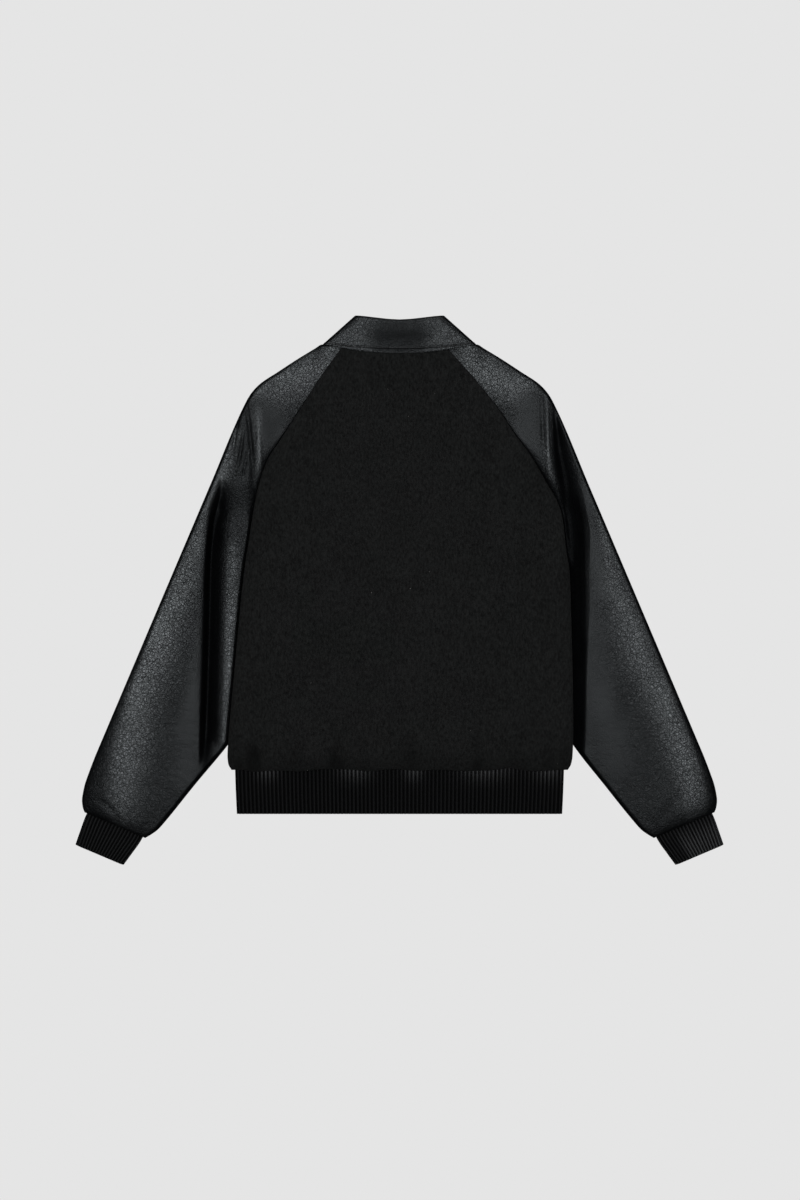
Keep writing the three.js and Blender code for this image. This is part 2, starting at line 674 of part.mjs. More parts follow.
// A place on a collar band, `down` from its roll line (0) to its free edge (1), moved in by `inset`.
function collarPoint(band, sign, station, down, inset) {
  const table = station.zone === "front" ? band.front : band.back;
  const value = (column) => read(table, "part", column, station.part);
  const roll = new THREE.Vector2(value("rollX"), value("rollY"));
  const edge = new THREE.Vector2(value("edgeX"), value("edgeY"));
  if (band.onNeckline && station.zone === "front") {
    const side = sign < 0 ? "left" : "right";
    const share = (station.part - LEAF_PARTS[0]) / (1 - LEAF_PARTS[0]);
    edge.x = THREE.MathUtils.lerp(bodyEdge(side, NECK_Y) - GAP, band.frontEnd, share);
    edge.y = (share > 0 ? neckline(side, edge.x) : NECK_Y) + 2 * GAP;
  }
  const place = roll.lerp(edge, down);
  const [top, bottom] = [band.top - inset, band.bottom + inset];
  if (station.zone === "fold") {
    const bulge = FOLD_AT_ROLL.clone().lerp(FOLD_AT_EDGE, down);
    const reach = 1 - (band.inside + inset) / bulge.length();
    place.addScaledVector(bulge, reach * Math.sin(station.turn));
  }
  const z = (top + bottom) / 2 + ((top - bottom) / 2) * Math.cos(station.turn);
  return new THREE.Vector3(sign * place.x, place.y, z);
}

// A collar band round the neck, from the left front end round the back to the right one.
function addCollarBand(name, band, thickness, rowCount) {
  const half = collarStations();
  const round = [
    ...half.slice(1).reverse().map((station) => ({ sign: -1, station })),
    ...half.map((station) => ({ sign: 1, station })),
  ];
  const grid = (inset) =>
    Array.from({ length: rowCount }, (_, j) =>
      round.map(({ sign, station }) => collarPoint(band, sign, station, j / (rowCount - 1), inset)),
    );
  addWall(name, grid(0), grid(thickness), LEATHER_FINISH);
}

function addCollar() {
  const fall = { back: COLLAR_BACK, front: COLLAR_FRONT, top: COLLAR_HEIGHT, bottom: 0, inside: 0 };
  const stand = {
    back: STAND_BACK,
    front: STAND_FRONT,
    top: NECK_HEIGHT,
    bottom: LEAF_LIFT,
    inside: LEAF_LIFT,
    onNeckline: true,
    frontEnd: STAND_FRONT[2].edgeX,
  };
  addCollarBand("collar_fall", fall, FALL_LEATHER, 4);
  addCollarBand("collar_stand", stand, STAND_LEATHER, 3);
}

// Section of a flattened knit tube: ribs over the top and round the sides, plain underneath. `cx` runs
// from -1 to 1 between the rounded sides, `ax` is added to it in millimetres, and the normal points out.
// With `lap` the tube is a strip whose ends lap by that much under the middle.
function ribSection(ribs, height, half, lap) {
  const radius = height / 2;
  const list = [];
  const under = (x, lift = 0) => {
    list.push({ cx: x / (half - radius), ax: 0, z: lift, nx: 0, nz: -1, groove: 0 });
  };
  const side = (sign) => {
    for (let i = 1; i < SIDE_RIB_STEPS; i++) {
      const part = i / SIDE_RIB_STEPS;
      const angle = sign < 0 ? Math.PI * (1.5 - part) : Math.PI * (0.5 - part);
      const [nx, nz] = [Math.cos(angle), Math.sin(angle)];
      list.push({ cx: sign, ax: radius * nx, z: radius * (1 + nz), nx, nz, groove: i % 2 ? 0 : 1 });
    }
  };
  const flat = half - radius;
  const underStart = lap ? [lap, -flat * 0.25, -flat * 0.5, -flat * 0.75, -flat] : [-flat];
  underStart.forEach((x) => under(x));
  side(-1);
  for (let i = 0; i <= 2 * ribs; i++) {
    list.push({ cx: -1 + i / ribs, ax: 0, z: height, nx: 0, nz: 1, groove: i % 2 ? 0 : 1 });
  }
  side(1);
  const underEnd = lap ? [flat, flat * 0.75, flat * 0.5, flat * 0.25] : [flat, flat / 2, 0, -flat / 2];
  underEnd.forEach((x) => under(x));
  if (lap) [lap + 4, -lap].forEach((x) => under(x, RIB_PEAK + GAP));
  return list;
}

// A ribbed tube through rows of { centre, half, place }, where place turns an across distance into a point.
function addRibbing(name, rows, section, height, ring) {
  const radius = height / 2;
  const grid = (depth) =>
    rows.map((row) =>
      section.map((station) => {
        const inset = depth(station);
        const across = row.centre + station.cx * (row.half - radius) + station.ax - station.nx * inset;
        const place = row.place(across);
        return new THREE.Vector3(place.x, place.y, station.z - station.nz * inset);
      }),
    );
  addWall(name, grid((station) => station.groove * RIB_GROOVE), grid(() => RIB_PEAK), RIB_FINISH, ring);
}

function addHemRib() {
  const rows = HEM_RIB_ROWS.map(({ y, half }) => ({
    centre: 0,
    half,
    place: (x) => new THREE.Vector2(x, y),
  }));
  const section = ribSection(HEM_RIBS, HEM_HEIGHT, HEM_RIB_ROWS[0].half, OVERLAP);
  addRibbing("hem_rib", rows, section, HEM_HEIGHT, false);
}

function addCuff(side) {
  const sign = side === "left" ? -1 : 1;
  const rows = CUFF_EDGES.map(({ s, outer, inner }) => ({
    centre: (outer + inner) / 2,
    half: (inner - outer) / 2,
    place: (q) => {
      const plan = sleevePoint(1, s, q);
      return new THREE.Vector2(sign * plan.x, plan.y);
    },
  }));
  const section = ribSection(CUFF_RIBS, CUFF_HEIGHT, rows[0].half, 0);
  addRibbing(`cuff_${side}`, rows, section, CUFF_HEIGHT, true);
}

// Snap caps down the centre front, each between the table and the left front.
function addSnaps() {
  SNAP_ROWS_Y.forEach((y, i) => {
    const height = frontHeight("left", 0, y) - GAP;
    const profile = [
      [0, 0],
      [SNAP_RADIUS - 1.4, 0],
      [SNAP_RADIUS, 0.7],
      [SNAP_RADIUS, height],
      [0, height],
    ].map(([radius, z]) => new THREE.Vector2(radius, z));
    const geometry = new THREE.LatheGeometry(profile, 14).rotateX(Math.PI / 2);
    addMesh(`snap_${i + 1}`, geometry, SNAP_FINISH).position.set(0, y, 0);
  });
}

addBack();
addFront("left");
addFront("right");
addSleeve("left");
addSleeve("right");
addCollar();
addHemRib();
addCuff("left");
addCuff("right");
addSnaps();
jacket.name = "varsity_jacket";

export default jacket;
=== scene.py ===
"""A varsity jacket laid flat on its front, seen from above: wool body, raglan leather sleeves, ribbed ends.

Every size is in millimetres until a mesh is made. +X is the wearer's right side, +Y points to the neck and
+Z up from the table, so the back is on top.
"""

import logging
import math
from dataclasses import dataclass, field
from enum import Enum

import bpy
import numpy as np
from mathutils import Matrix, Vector


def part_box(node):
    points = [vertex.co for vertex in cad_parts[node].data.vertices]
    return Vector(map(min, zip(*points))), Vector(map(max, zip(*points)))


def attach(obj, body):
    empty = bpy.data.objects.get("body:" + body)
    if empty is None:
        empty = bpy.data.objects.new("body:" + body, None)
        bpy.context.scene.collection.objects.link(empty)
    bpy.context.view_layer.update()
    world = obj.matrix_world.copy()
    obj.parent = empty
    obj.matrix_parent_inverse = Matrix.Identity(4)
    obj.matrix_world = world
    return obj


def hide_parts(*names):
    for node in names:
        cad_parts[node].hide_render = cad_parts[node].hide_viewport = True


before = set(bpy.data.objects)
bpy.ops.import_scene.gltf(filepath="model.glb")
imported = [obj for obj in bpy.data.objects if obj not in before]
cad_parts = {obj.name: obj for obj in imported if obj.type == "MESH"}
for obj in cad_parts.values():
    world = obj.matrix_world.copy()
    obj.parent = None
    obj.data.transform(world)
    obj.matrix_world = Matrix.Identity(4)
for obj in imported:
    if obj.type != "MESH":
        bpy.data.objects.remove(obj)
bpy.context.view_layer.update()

LOG = logging.getLogger("jacket")
# One millimetre in metres: the shapes are worked out in millimetres
MM = 0.001
Grid = np.ndarray

# Cloth thickness and the gap at a seam
WOOL = 2.4
LEATHER = 2.0
FALL_LEATHER = 2.6
STAND_LEATHER = 2.4
RIB_PEAK = 3.0
GAP = 0.3

# Heights above the table
BACK_HEIGHT = 22.6
NECK_HEIGHT = 21.7
JUNCTION_HEIGHT = 9.5
SIDE_SEAM_RISE = 3.0
TUCK_HEIGHT = 7.2
TUCK_CLEARANCE = 1.0
LEAF_LIFT = FALL_LEATHER + GAP
SNAP_LIFT = 2.3
HEM_HEIGHT = 14.0
CUFF_HEIGHT = 16.0
# Least height of a sleeve's upper leaf, which keeps it off the lower one
SLEEVE_FLOOR = 5.2

# Lengths along the body and the sleeves, and the power of the neckline's curve
NECK_Y = 352.0
NECK_DROP = 82.0
NECK_POWER = 2.5
FRONT_HEM_Y = -250.0
BACK_HEM_Y = -258.0
HEM_TURN = 24.0
OVERLAP = 12.0
UNDERARM_Y = 128.0
FRONT_RAGLAN_ROUND = 18.0
SLEEVE_LEAN = math.radians(23)
SLEEVE_REACH = 312.0
SLEEVE_LOWER_END = 466.0
SLEEVE_UPPER_END = 474.0
SLEEVE_TURN = 24.0
SNAP_RADIUS = 7.5
SNAP_ROWS_Y = (258.0, 163.0, 68.0, -27.0, -122.0, -217.0)
# Edges between faces that meet at more than this are drawn sharp
SHARP = math.radians(55)


def ease(value: Grid | float) -> Grid:
    """Smooth step from 0 to 1, three parts of the square less two of the cube."""
    k = np.clip(value, 0.0, 1.0)
    return k * k * (3 - 2 * k)


def blend(low: Grid | float, high: Grid | float, share: Grid | float) -> Grid:
    """The value `share` of the way from `low` to `high`."""
    return low + (high - low) * share


@dataclass(frozen=True)
class Curve:
    """A value read smoothly between stated rows, held level past its ends.

    The rows are joined by cubics whose slope at a row is the harmonic mean of the slopes beside it, and
    level where the value turns back.
    """

    at: tuple[float, ...]
    value: tuple[float, ...]

    def __call__(self, where: Grid | float) -> Grid:
        """The value at one or many places.

        Args:
            where: Places in the units of `at`.

        Returns:
            An array of the same shape.
        """
        order = np.argsort(self.at)
        x, y = np.array(self.at, float)[order], np.array(self.value, float)[order]
        step = np.diff(x)
        slope = np.diff(y) / step
        same = slope[:-1] * slope[1:] > 0
        total = np.where(same, slope[:-1] + slope[1:], 1.0)
        middle = np.where(same, 2 * slope[:-1] * slope[1:] / total, 0.0)
        tangent = np.concatenate([slope[:1], middle, slope[-1:]])
        place = np.clip(np.asarray(where, float), x[0], x[-1])
        i = np.clip(np.searchsorted(x, place) - 1, 0, len(x) - 2)
        t = (place - x[i]) / step[i]
        start = y[i] * (1 + 2 * t) * (1 - t) ** 2 + tangent[i] * step[i] * t * (1 - t) ** 2
        end = y[i + 1] * t * t * (3 - 2 * t) - tangent[i + 1] * step[i] * t * t * (1 - t)
        return start + end


class Side(Enum):
    """The wearer's left and right. The value is the sign of x."""

    LEFT = -1
    RIGHT = 1

    @property
    def label(self) -> str:
        """The word in the names of the pieces."""
        return self.name.lower()


# Edge of the back from the neck down, as the distance from the centre line: the raglan seam to the
# underarm, then the side
BODY_EDGE = {
    Side.LEFT: Curve(
        at=(352, 309.6, 261.7, 216.8, 189.2, 157.3, 131.2, 95,
            22.5, -39.9, -103.7, -166, -219.7, -240, -250, -258),
        value=(83.2, 113.8, 144.3, 173.3, 191.4, 203, 209.5, 215.3,
               226.2, 232.7, 238.5, 244.3, 248.7, 249.6, 248.4, 243.6),
    ),
    Side.RIGHT: Curve(
        at=(352, 305.2, 258.8, 225.5, 196.5, 160.2, 124, 106.6,
            63.1, 22.5, -42.8, -129.8, -202.3, -240, -250, -258),
        value=(67.7, 109.5, 145.7, 167.5, 189.2, 211, 231.3, 236.4,
               241.4, 247.2, 249.4, 251.6, 252.3, 251, 249, 244),
    ),
}
# How far the sleeve's inner edge lies under the side of the body
TUCK = Curve(
    at=(122, 114, 104, 92, 62, 30, -10, -50, -108, -159, -195, -226),
    value=(0.1, 0.8, 2.2, 5, 15, 27, 37, 41, 42, 34, 19, -1.5),
)
# Shoulder line from the collar to the top of the straight sleeve edge
SHOULDER = (
    (98, 353.6), (106, 355.6), (113, 356.4), (120, 352.2), (148.6, 334.8),
    (176, 316.8), (202, 299.4), (215, 285.5), (224, 270),
)
# Sleeve edges below the underarm, as the distance across against the distance down the sleeve
SLEEVE_OUTER = Curve(at=(-170, 385, 430, 456, 468, 474), value=(-312, -312, -310.5, -306, -300, -294.5))
SLEEVE_INNER_END = ((377, -163.6), (440, -181.5), (456, -187), (466, -193), (474, -199))
CUFF_OUTER = Curve(at=(466.3, 480, 503, 522.8), value=(-290.5, -291.5, -290.3, -289))
CUFF_INNER = Curve(at=(466.3, 480, 503, 522.8), value=(-202.5, -203.5, -208.3, -213))
UPPER_INNER_ROUND = Curve(at=(-40, 0, 240, 330), value=(24, 10, 8, 7))
LOWER_INNER_ROUND = Curve(at=(-40, 0, 240, 330), value=(16, 8, 8, 22))
INNER_SEAM = Curve(at=(-40, 0, 300, 330, 370), value=(9.5, 3.6, 3.6, 7, 12))
# Fullness of the sleeve and height of its outer seam, down its length
FULLNESS = Curve(
    at=(-265, -200, -120, 0, 150, 300, 420, 474),
    value=(21.7, 24, 26.5, 29.5, 31.5, 33, 32.5, 29),
)
OUTER_SEAM = Curve(at=(-265, -120, 0, 150, 300, 420, 474), value=(14, 15.5, 17, 18, 17.5, 16, 14))

# Where the wall outside the groove beside the body stands, down the body
GROOVE_WALL = {
    Side.LEFT: Curve(at=(150, 94, 34, -85, -204, -250), value=(262, 276, 281, 284, 288, 290)),
    Side.RIGHT: Curve(at=(150, 77, -43, -246), value=(256, 267, 269, 269)),
}
# Height of the face against the distance in from that wall on the left, a long slope up to a strip beside
# the body. On the right it is one steep slope, against 26 mm times the share of the way in to the body
GROOVE = {
    Side.LEFT: Curve(
        at=(-8, 0, 2, 4, 6, 7, 8.5, 14, 20, 26, 32, 45),
        value=(30, 27.2, 19, 10, 5.7, 5.4, 5.9, 8.8, 12.0, 15.0, 16.6, 16.8),
    ),
    Side.RIGHT: Curve(at=(-8, 0, 1.5, 24, 26), value=(30, 26.8, 25.4, 8.6, 7.2)),
}
GROOVE_WIDTH = 26.0
# Height against the distance out from the body's edge, where the sleeve comes out from under it
EDGE_RISE = Curve(at=(-40, -0.5, 1, 3, 6, 12, 20, 35), value=(7.2, 7.2, 11.0, 15.5, 19.0, 24, 34, 60))
# Distance in from the sleeve's outer line to its crest, and the fall of its face from there to the body
CREST = {Side.LEFT: 56.0, Side.RIGHT: 46.0}
CREST_FALL = 0.085
SHOULDER_FALL = 0.11


def body_edge(side: Side, y: Grid) -> Grid:
    """Distance of the body's edge from the centre line."""
    return BODY_EDGE[side](y)


def front_edge(side: Side, y: Grid) -> Grid:
    """Distance of the front's edge from the centre line: the back's, a little less beside the sleeve, so that
    the sleeve's front leaf lies under the back's seam."""
    return body_edge(side, y) - 1.0 * ease((y - 108) / 30) * ease((345 - y) / 40)


def beside_raglan(y: Grid) -> Grid:
    """1 beside the raglan seam, easing to 0 below the underarm."""
    return ease((y - (UNDERARM_Y - 14)) / 28)


def upright(y: Grid) -> Grid:
    """Angle of a cut edge: a right angle along the raglan seam, easing to level below the underarm."""
    return math.pi / 2 * beside_raglan(y)


def falling(steps: int) -> Grid:
    """Turns of the last rows of a panel: even steps from nearly a right angle to level."""
    return np.arange(steps - 1, -1, -1) / max(steps, 1) * math.pi / 2


def neck_lift(x: Grid, y: Grid) -> Grid:
    """Height that the collar leaves give the cloth lying on them."""
    return LEAF_LIFT * ease((y - 170) / 30) * ease((175 - np.abs(x)) / 35)


def back_seam(y: Grid) -> Grid:
    """Height of the back raglan seam, falling to the underarm."""
    low = JUNCTION_HEIGHT + GAP / 2 + WOOL
    return NECK_HEIGHT - (NECK_HEIGHT - low) * ease((UNDERARM_Y + 95 - y) / 95)


def front_seam(side: Side, y: Grid) -> Grid:
    """Height of the front raglan seam, rising to the underarm."""
    high = JUNCTION_HEIGHT - GAP / 2 - WOOL
    return neck_lift(body_edge(side, y), y) + high * ease((UNDERARM_Y + 70 - y) / 70)


def side_seam(y: Grid) -> Grid:
    """Middle height of the side seam below the underarm."""
    return JUNCTION_HEIGHT + SIDE_SEAM_RISE * ease((UNDERARM_Y - y) / 40)


def noise(x: Grid, y: Grid, size: float, seed: int) -> Grid:
    """Smooth random waves from -1 to 1: random heights on a square lattice, eased between its corners.

    Args:
        x: Places across.
        y: Places along.
        size: Width of a lattice square.
        seed: Picks the heights.

    Returns:
        A height for each place.
    """
    lattice = np.random.default_rng(seed).uniform(-1, 1, (128, 128))
    u, v = np.broadcast_arrays(np.asarray(x) / size + 51.3, np.asarray(y) / size + 47.7)
    i, j = np.floor(u).astype(int), np.floor(v).astype(int)
    a, b = ease(u - i), ease(v - j)

    def corner(di: int, dj: int) -> Grid:
        """Lattice height at one corner."""
        return lattice[(i + di) % 128, (j + dj) % 128]

    return blend(blend(corner(0, 0), corner(1, 0), a), blend(corner(0, 1), corner(1, 1), a), b)


def furrows(x: Grid, y: Grid, lean: float, size: float, seed: int) -> Grid:
    """Thin wandering creases, 1 along their middle and 0 between them.

    They lie where stretched noise passes through zero, so each is a few lattice squares long.

    Args:
        x: Places across.
        y: Places along.
        lean: Direction of the creases in degrees from +Y towards +X.
        size: Distance between creases.
        seed: Picks their places.

    Returns:
        Crease strength for each place.
    """
    angle = math.radians(lean)
    bend = noise(x, y, size * 4, seed + 1) * size * 0.9
    along = x * math.sin(angle) + y * math.cos(angle)
    across = x * math.cos(angle) - y * math.sin(angle) + bend
    return np.exp(-((noise(across, along / 3.2, size, seed) / 0.16) ** 2))


@dataclass(frozen=True)
class Crease:
    """A trough (depth above 0) or ridge (below 0) along a path in plan.

    Each row of the path is x from the centre line, y, depth, and the widths towards and away from the body.
    """

    path: tuple[tuple[float, float, float, float, float], ...]

    def depth_at(self, x: Grid, y: Grid) -> Grid:
        """Depth of the crease: the stated depth times a bell of the distance from the path.

        Args:
            x: Distance from the centre line.
            y: Distance along the body.

        Returns:
            Depth for each place, the strongest of the path's parts.
        """
        total = np.zeros(np.broadcast(x, y).shape)
        rows = np.array(self.path, float)
        for a, b in zip(rows[:-1], rows[1:]):
            run = b[:2] - a[:2]
            t = np.clip(((x - a[0]) * run[0] + (y - a[1]) * run[1]) / (run @ run), 0, 1)
            dx, dy = x - (a[0] + t * run[0]), y - (a[1] + t * run[1])
            inner = run[0] * dy - run[1] * dx < 0
            depth, near, far = (blend(a[k], b[k], t) for k in (2, 3, 4))
            value = depth * np.exp(-((np.hypot(dx, dy) / np.where(inner, near, far)) ** 2))
            total = np.where(np.abs(value) > np.abs(total), value, total)
        return total


def creases(*paths: tuple[tuple[float, float, float, float, float], ...]) -> tuple[Crease, ...]:
    """A crease along each path."""
    return tuple(Crease(path) for path in paths)


@dataclass(frozen=True)
class Stations:
    """Places across a panel: a rounded edge, a plateau and a rounded edge."""

    edge: Grid
    turn: Grid
    flat: Grid

    @classmethod
    def spread(cls, edge_steps: int, flat_steps: int, far_edge: bool = True) -> "Stations":
        """Even steps of angle round the edges and even steps over the plateau.

        Args:
            edge_steps: Places on each rounded edge.
            flat_steps: Steps over the plateau.
            far_edge: False for a panel that ends square.

        Returns:
            The stations.
        """
        rise = np.arange(edge_steps) / edge_steps * math.pi / 2
        flat = np.linspace(0, 1, flat_steps + 1)
        parts = [(-1, rise, np.zeros(edge_steps)), (0, np.full(flat_steps + 1, math.pi / 2), flat)]
        if far_edge:
            parts.append((1, rise[::-1], np.ones(edge_steps)))
        edge = np.concatenate([np.full(len(turn), sign) for sign, turn, _ in parts])
        turns = np.concatenate([turn for _, turn, _ in parts])
        flats = np.concatenate([share for _, _, share in parts])
        return cls(edge, turns, flats)

    def across(self, start: Grid, end: Grid, first: Grid, last: Grid) -> Grid:
        """Distance of each station on rows from `start` to `end` with edges rounded by `first` and `last`.

        Args:
            start: Where each row starts.
            end: Where each row ends.
            first: Reach of the first rounded edge.
            last: Reach of the last rounded edge.

        Returns:
            A grid of rows by stations.
        """
        start, end, first, last = (np.asarray(v, float)[:, None] for v in (start, end, first, last))
        near = start + first * (1 - np.cos(self.turn))
        far = end - last * (1 - np.cos(self.turn))
        middle = start + first + (end - start - first - last) * self.flat
        return np.where(self.edge < 0, near, np.where(self.edge > 0, far, middle))

    @property
    def right(self) -> Grid:
        """True on the second half."""
        return (self.edge > 0) | (self.flat > 0.5)

    def height(self, face: Grid, edge: Grid, low: Grid | float, turn: Grid) -> Grid:
        """Height of a panel whose sides and last rows turn down.

        Down the last rows the face falls to `low` by the sine of their turn and the cut edge meets it by
        the cosine. Across a row the height then leaves the edge by the sine of the station's turn.

        Args:
            face: Height of the plateau.
            edge: Height of the cut edges.
            low: Height that the last row ends at.
            turn: Turn of each row, a right angle before the last ones.

        Returns:
            Height by row and station.
        """
        turned = low + (face - low) * np.sin(turn)
        rise = blend(edge, low, np.cos(turn))
        return rise + (turned - rise) * np.sin(self.turn)


def even(points: Grid, **values: float) -> dict[str, Grid]:
    """Marks with one value each over a whole layer of points."""
    return {name: np.full(points.shape[:2], value) for name, value in values.items()}


def ring_faces(rows: int, around: int) -> Grid:
    """Faces between `rows` rings of `around` points, numbered ring by ring."""
    j, i = np.meshgrid(np.arange(rows - 1) * around, np.arange(around), indexing="ij")
    beside = (i + 1) % around
    return np.stack([j + i, j + around + i, j + around + beside, j + beside], axis=-1).reshape(-1, 4)


@dataclass
class Wall:
    """A closed cloth wall between an outer and an inner grid of points, joined round its edges."""

    name: str
    outer: Grid
    inner: Grid
    ring: bool = False
    marks: dict[str, Grid] = field(default_factory=dict)

    def faces(self) -> Grid:
        """Corners of every face: outer cells, inner cells turned over, and the strips round the edges."""
        rows, columns = self.outer.shape[:2]
        last = columns if self.ring else columns - 1
        j, i = np.meshgrid(np.arange(rows - 1), np.arange(last), indexing="ij")

        def at(row: Grid, column: Grid, layer: int) -> Grid:
            """Index of a grid point."""
            return (layer * rows + row) * columns + column % columns

        def strip(*corners: Grid) -> Grid:
            """Faces from four arrays of corners."""
            return np.stack([corner.ravel() for corner in corners], axis=1)

        parts = [
            strip(at(j, i, 0), at(j + 1, i, 0), at(j + 1, i + 1, 0), at(j, i + 1, 0)),
            strip(at(j, i, 1), at(j, i + 1, 1), at(j + 1, i + 1, 1), at(j + 1, i, 1)),
        ]
        if not self.ring:
            k, end = np.arange(rows - 1), np.full(rows - 1, columns - 1)
            start = np.zeros(rows - 1, int)
            parts.append(strip(at(k, start, 0), at(k, start, 1), at(k + 1, start, 1), at(k + 1, start, 0)))
            parts.append(strip(at(k, end, 0), at(k + 1, end, 0), at(k + 1, end, 1), at(k, end, 1)))
        k, end = np.arange(last), np.full(last, rows - 1)
        start = np.zeros(last, int)
        parts.append(strip(at(start, k, 0), at(start, k + 1, 0), at(start, k + 1, 1), at(start, k, 1)))
        parts.append(strip(at(end, k, 0), at(end, k, 1), at(end, k + 1, 1), at(end, k + 1, 0)))
        return np.concatenate(parts)

    def build(self) -> bpy.types.Object:
        """The mesh object, its faces turned outwards."""
        points = np.concatenate([self.outer.reshape(-1, 3), self.inner.reshape(-1, 3)])
        grid = self.outer.shape[:2]
        marks = {name: np.tile(np.broadcast_to(v, grid).ravel(), 2) for name, v in self.marks.items()}
        return mesh_object(self.name, points, self.faces(), marks)


def mesh_object(
    name: str, points: Grid, faces: Grid, marks: dict[str, Grid] | None = None
) -> bpy.types.Object:
    """A mesh object at the origin from points in millimetres and four-cornered faces.

    Args:
        name: Name of the object and its mesh.
        points: One row for each point.
        faces: One row of four corners for each face.
        marks: Values at each point, kept as attributes.

    Returns:
        The object, linked to the scene.
    """
    a, b, c, d = (points[faces[:, k]] for k in range(4))
    volume = sum(np.einsum("ij,ij->i", a, np.cross(*pair)).sum() for pair in ((b, c), (c, d)))
    corners = faces if volume > 0 else faces[:, ::-1]
    mesh = bpy.data.meshes.new(name)
    mesh.vertices.add(len(points))
    mesh.vertices.foreach_set("co", (points * MM).astype(np.float32).ravel())
    mesh.loops.add(corners.size)
    mesh.loops.foreach_set("vertex_index", corners.astype(np.int32).ravel())
    mesh.polygons.add(len(corners))
    mesh.polygons.foreach_set("loop_start", np.arange(0, corners.size, 4, dtype=np.int32))
    mesh.update(calc_edges=True)
    mesh.polygons.foreach_set("use_smooth", np.ones(len(corners), bool))
    for mark, values in (marks or {}).items():
        mesh.attributes.new(mark, "FLOAT", "POINT").data.foreach_set("value", values.astype(np.float32))
    mesh.set_sharp_from_angle(angle=SHARP)
    mesh.validate()
    thing = bpy.data.objects.new(name, mesh)
    bpy.context.scene.collection.objects.link(thing)
    return thing


class Signal:
    """A node socket that joins with others and with numbers by the usual operators."""

    def __init__(self, shader: "Shader", socket: bpy.types.NodeSocket) -> None:
        """Keeps the shader that makes the nodes and the socket."""
        self.shader = shader
        self.socket = socket

    def __add__(self, other: "Signal | float") -> "Signal":
        """Sum."""
        return self.shader.math("ADD", self, other)

    __radd__ = __add__

    def __sub__(self, other: "Signal | float") -> "Signal":
        """Difference."""
        return self.shader.math("SUBTRACT", self, other)

    def __rsub__(self, other: float) -> "Signal":
        """Difference from a number."""
        return self.shader.math("SUBTRACT", other, self)

    def __mul__(self, other: "Signal | float") -> "Signal":
        """Product."""
        return self.shader.math("MULTIPLY", self, other)

    __rmul__ = __mul__

    def __truediv__(self, other: "Signal | float") -> "Signal":
        """Quotient."""
        return self.shader.math("DIVIDE", self, other)

    def __abs__(self) -> "Signal":
        """Size without its sign."""
        return self.shader.math("ABSOLUTE", self)


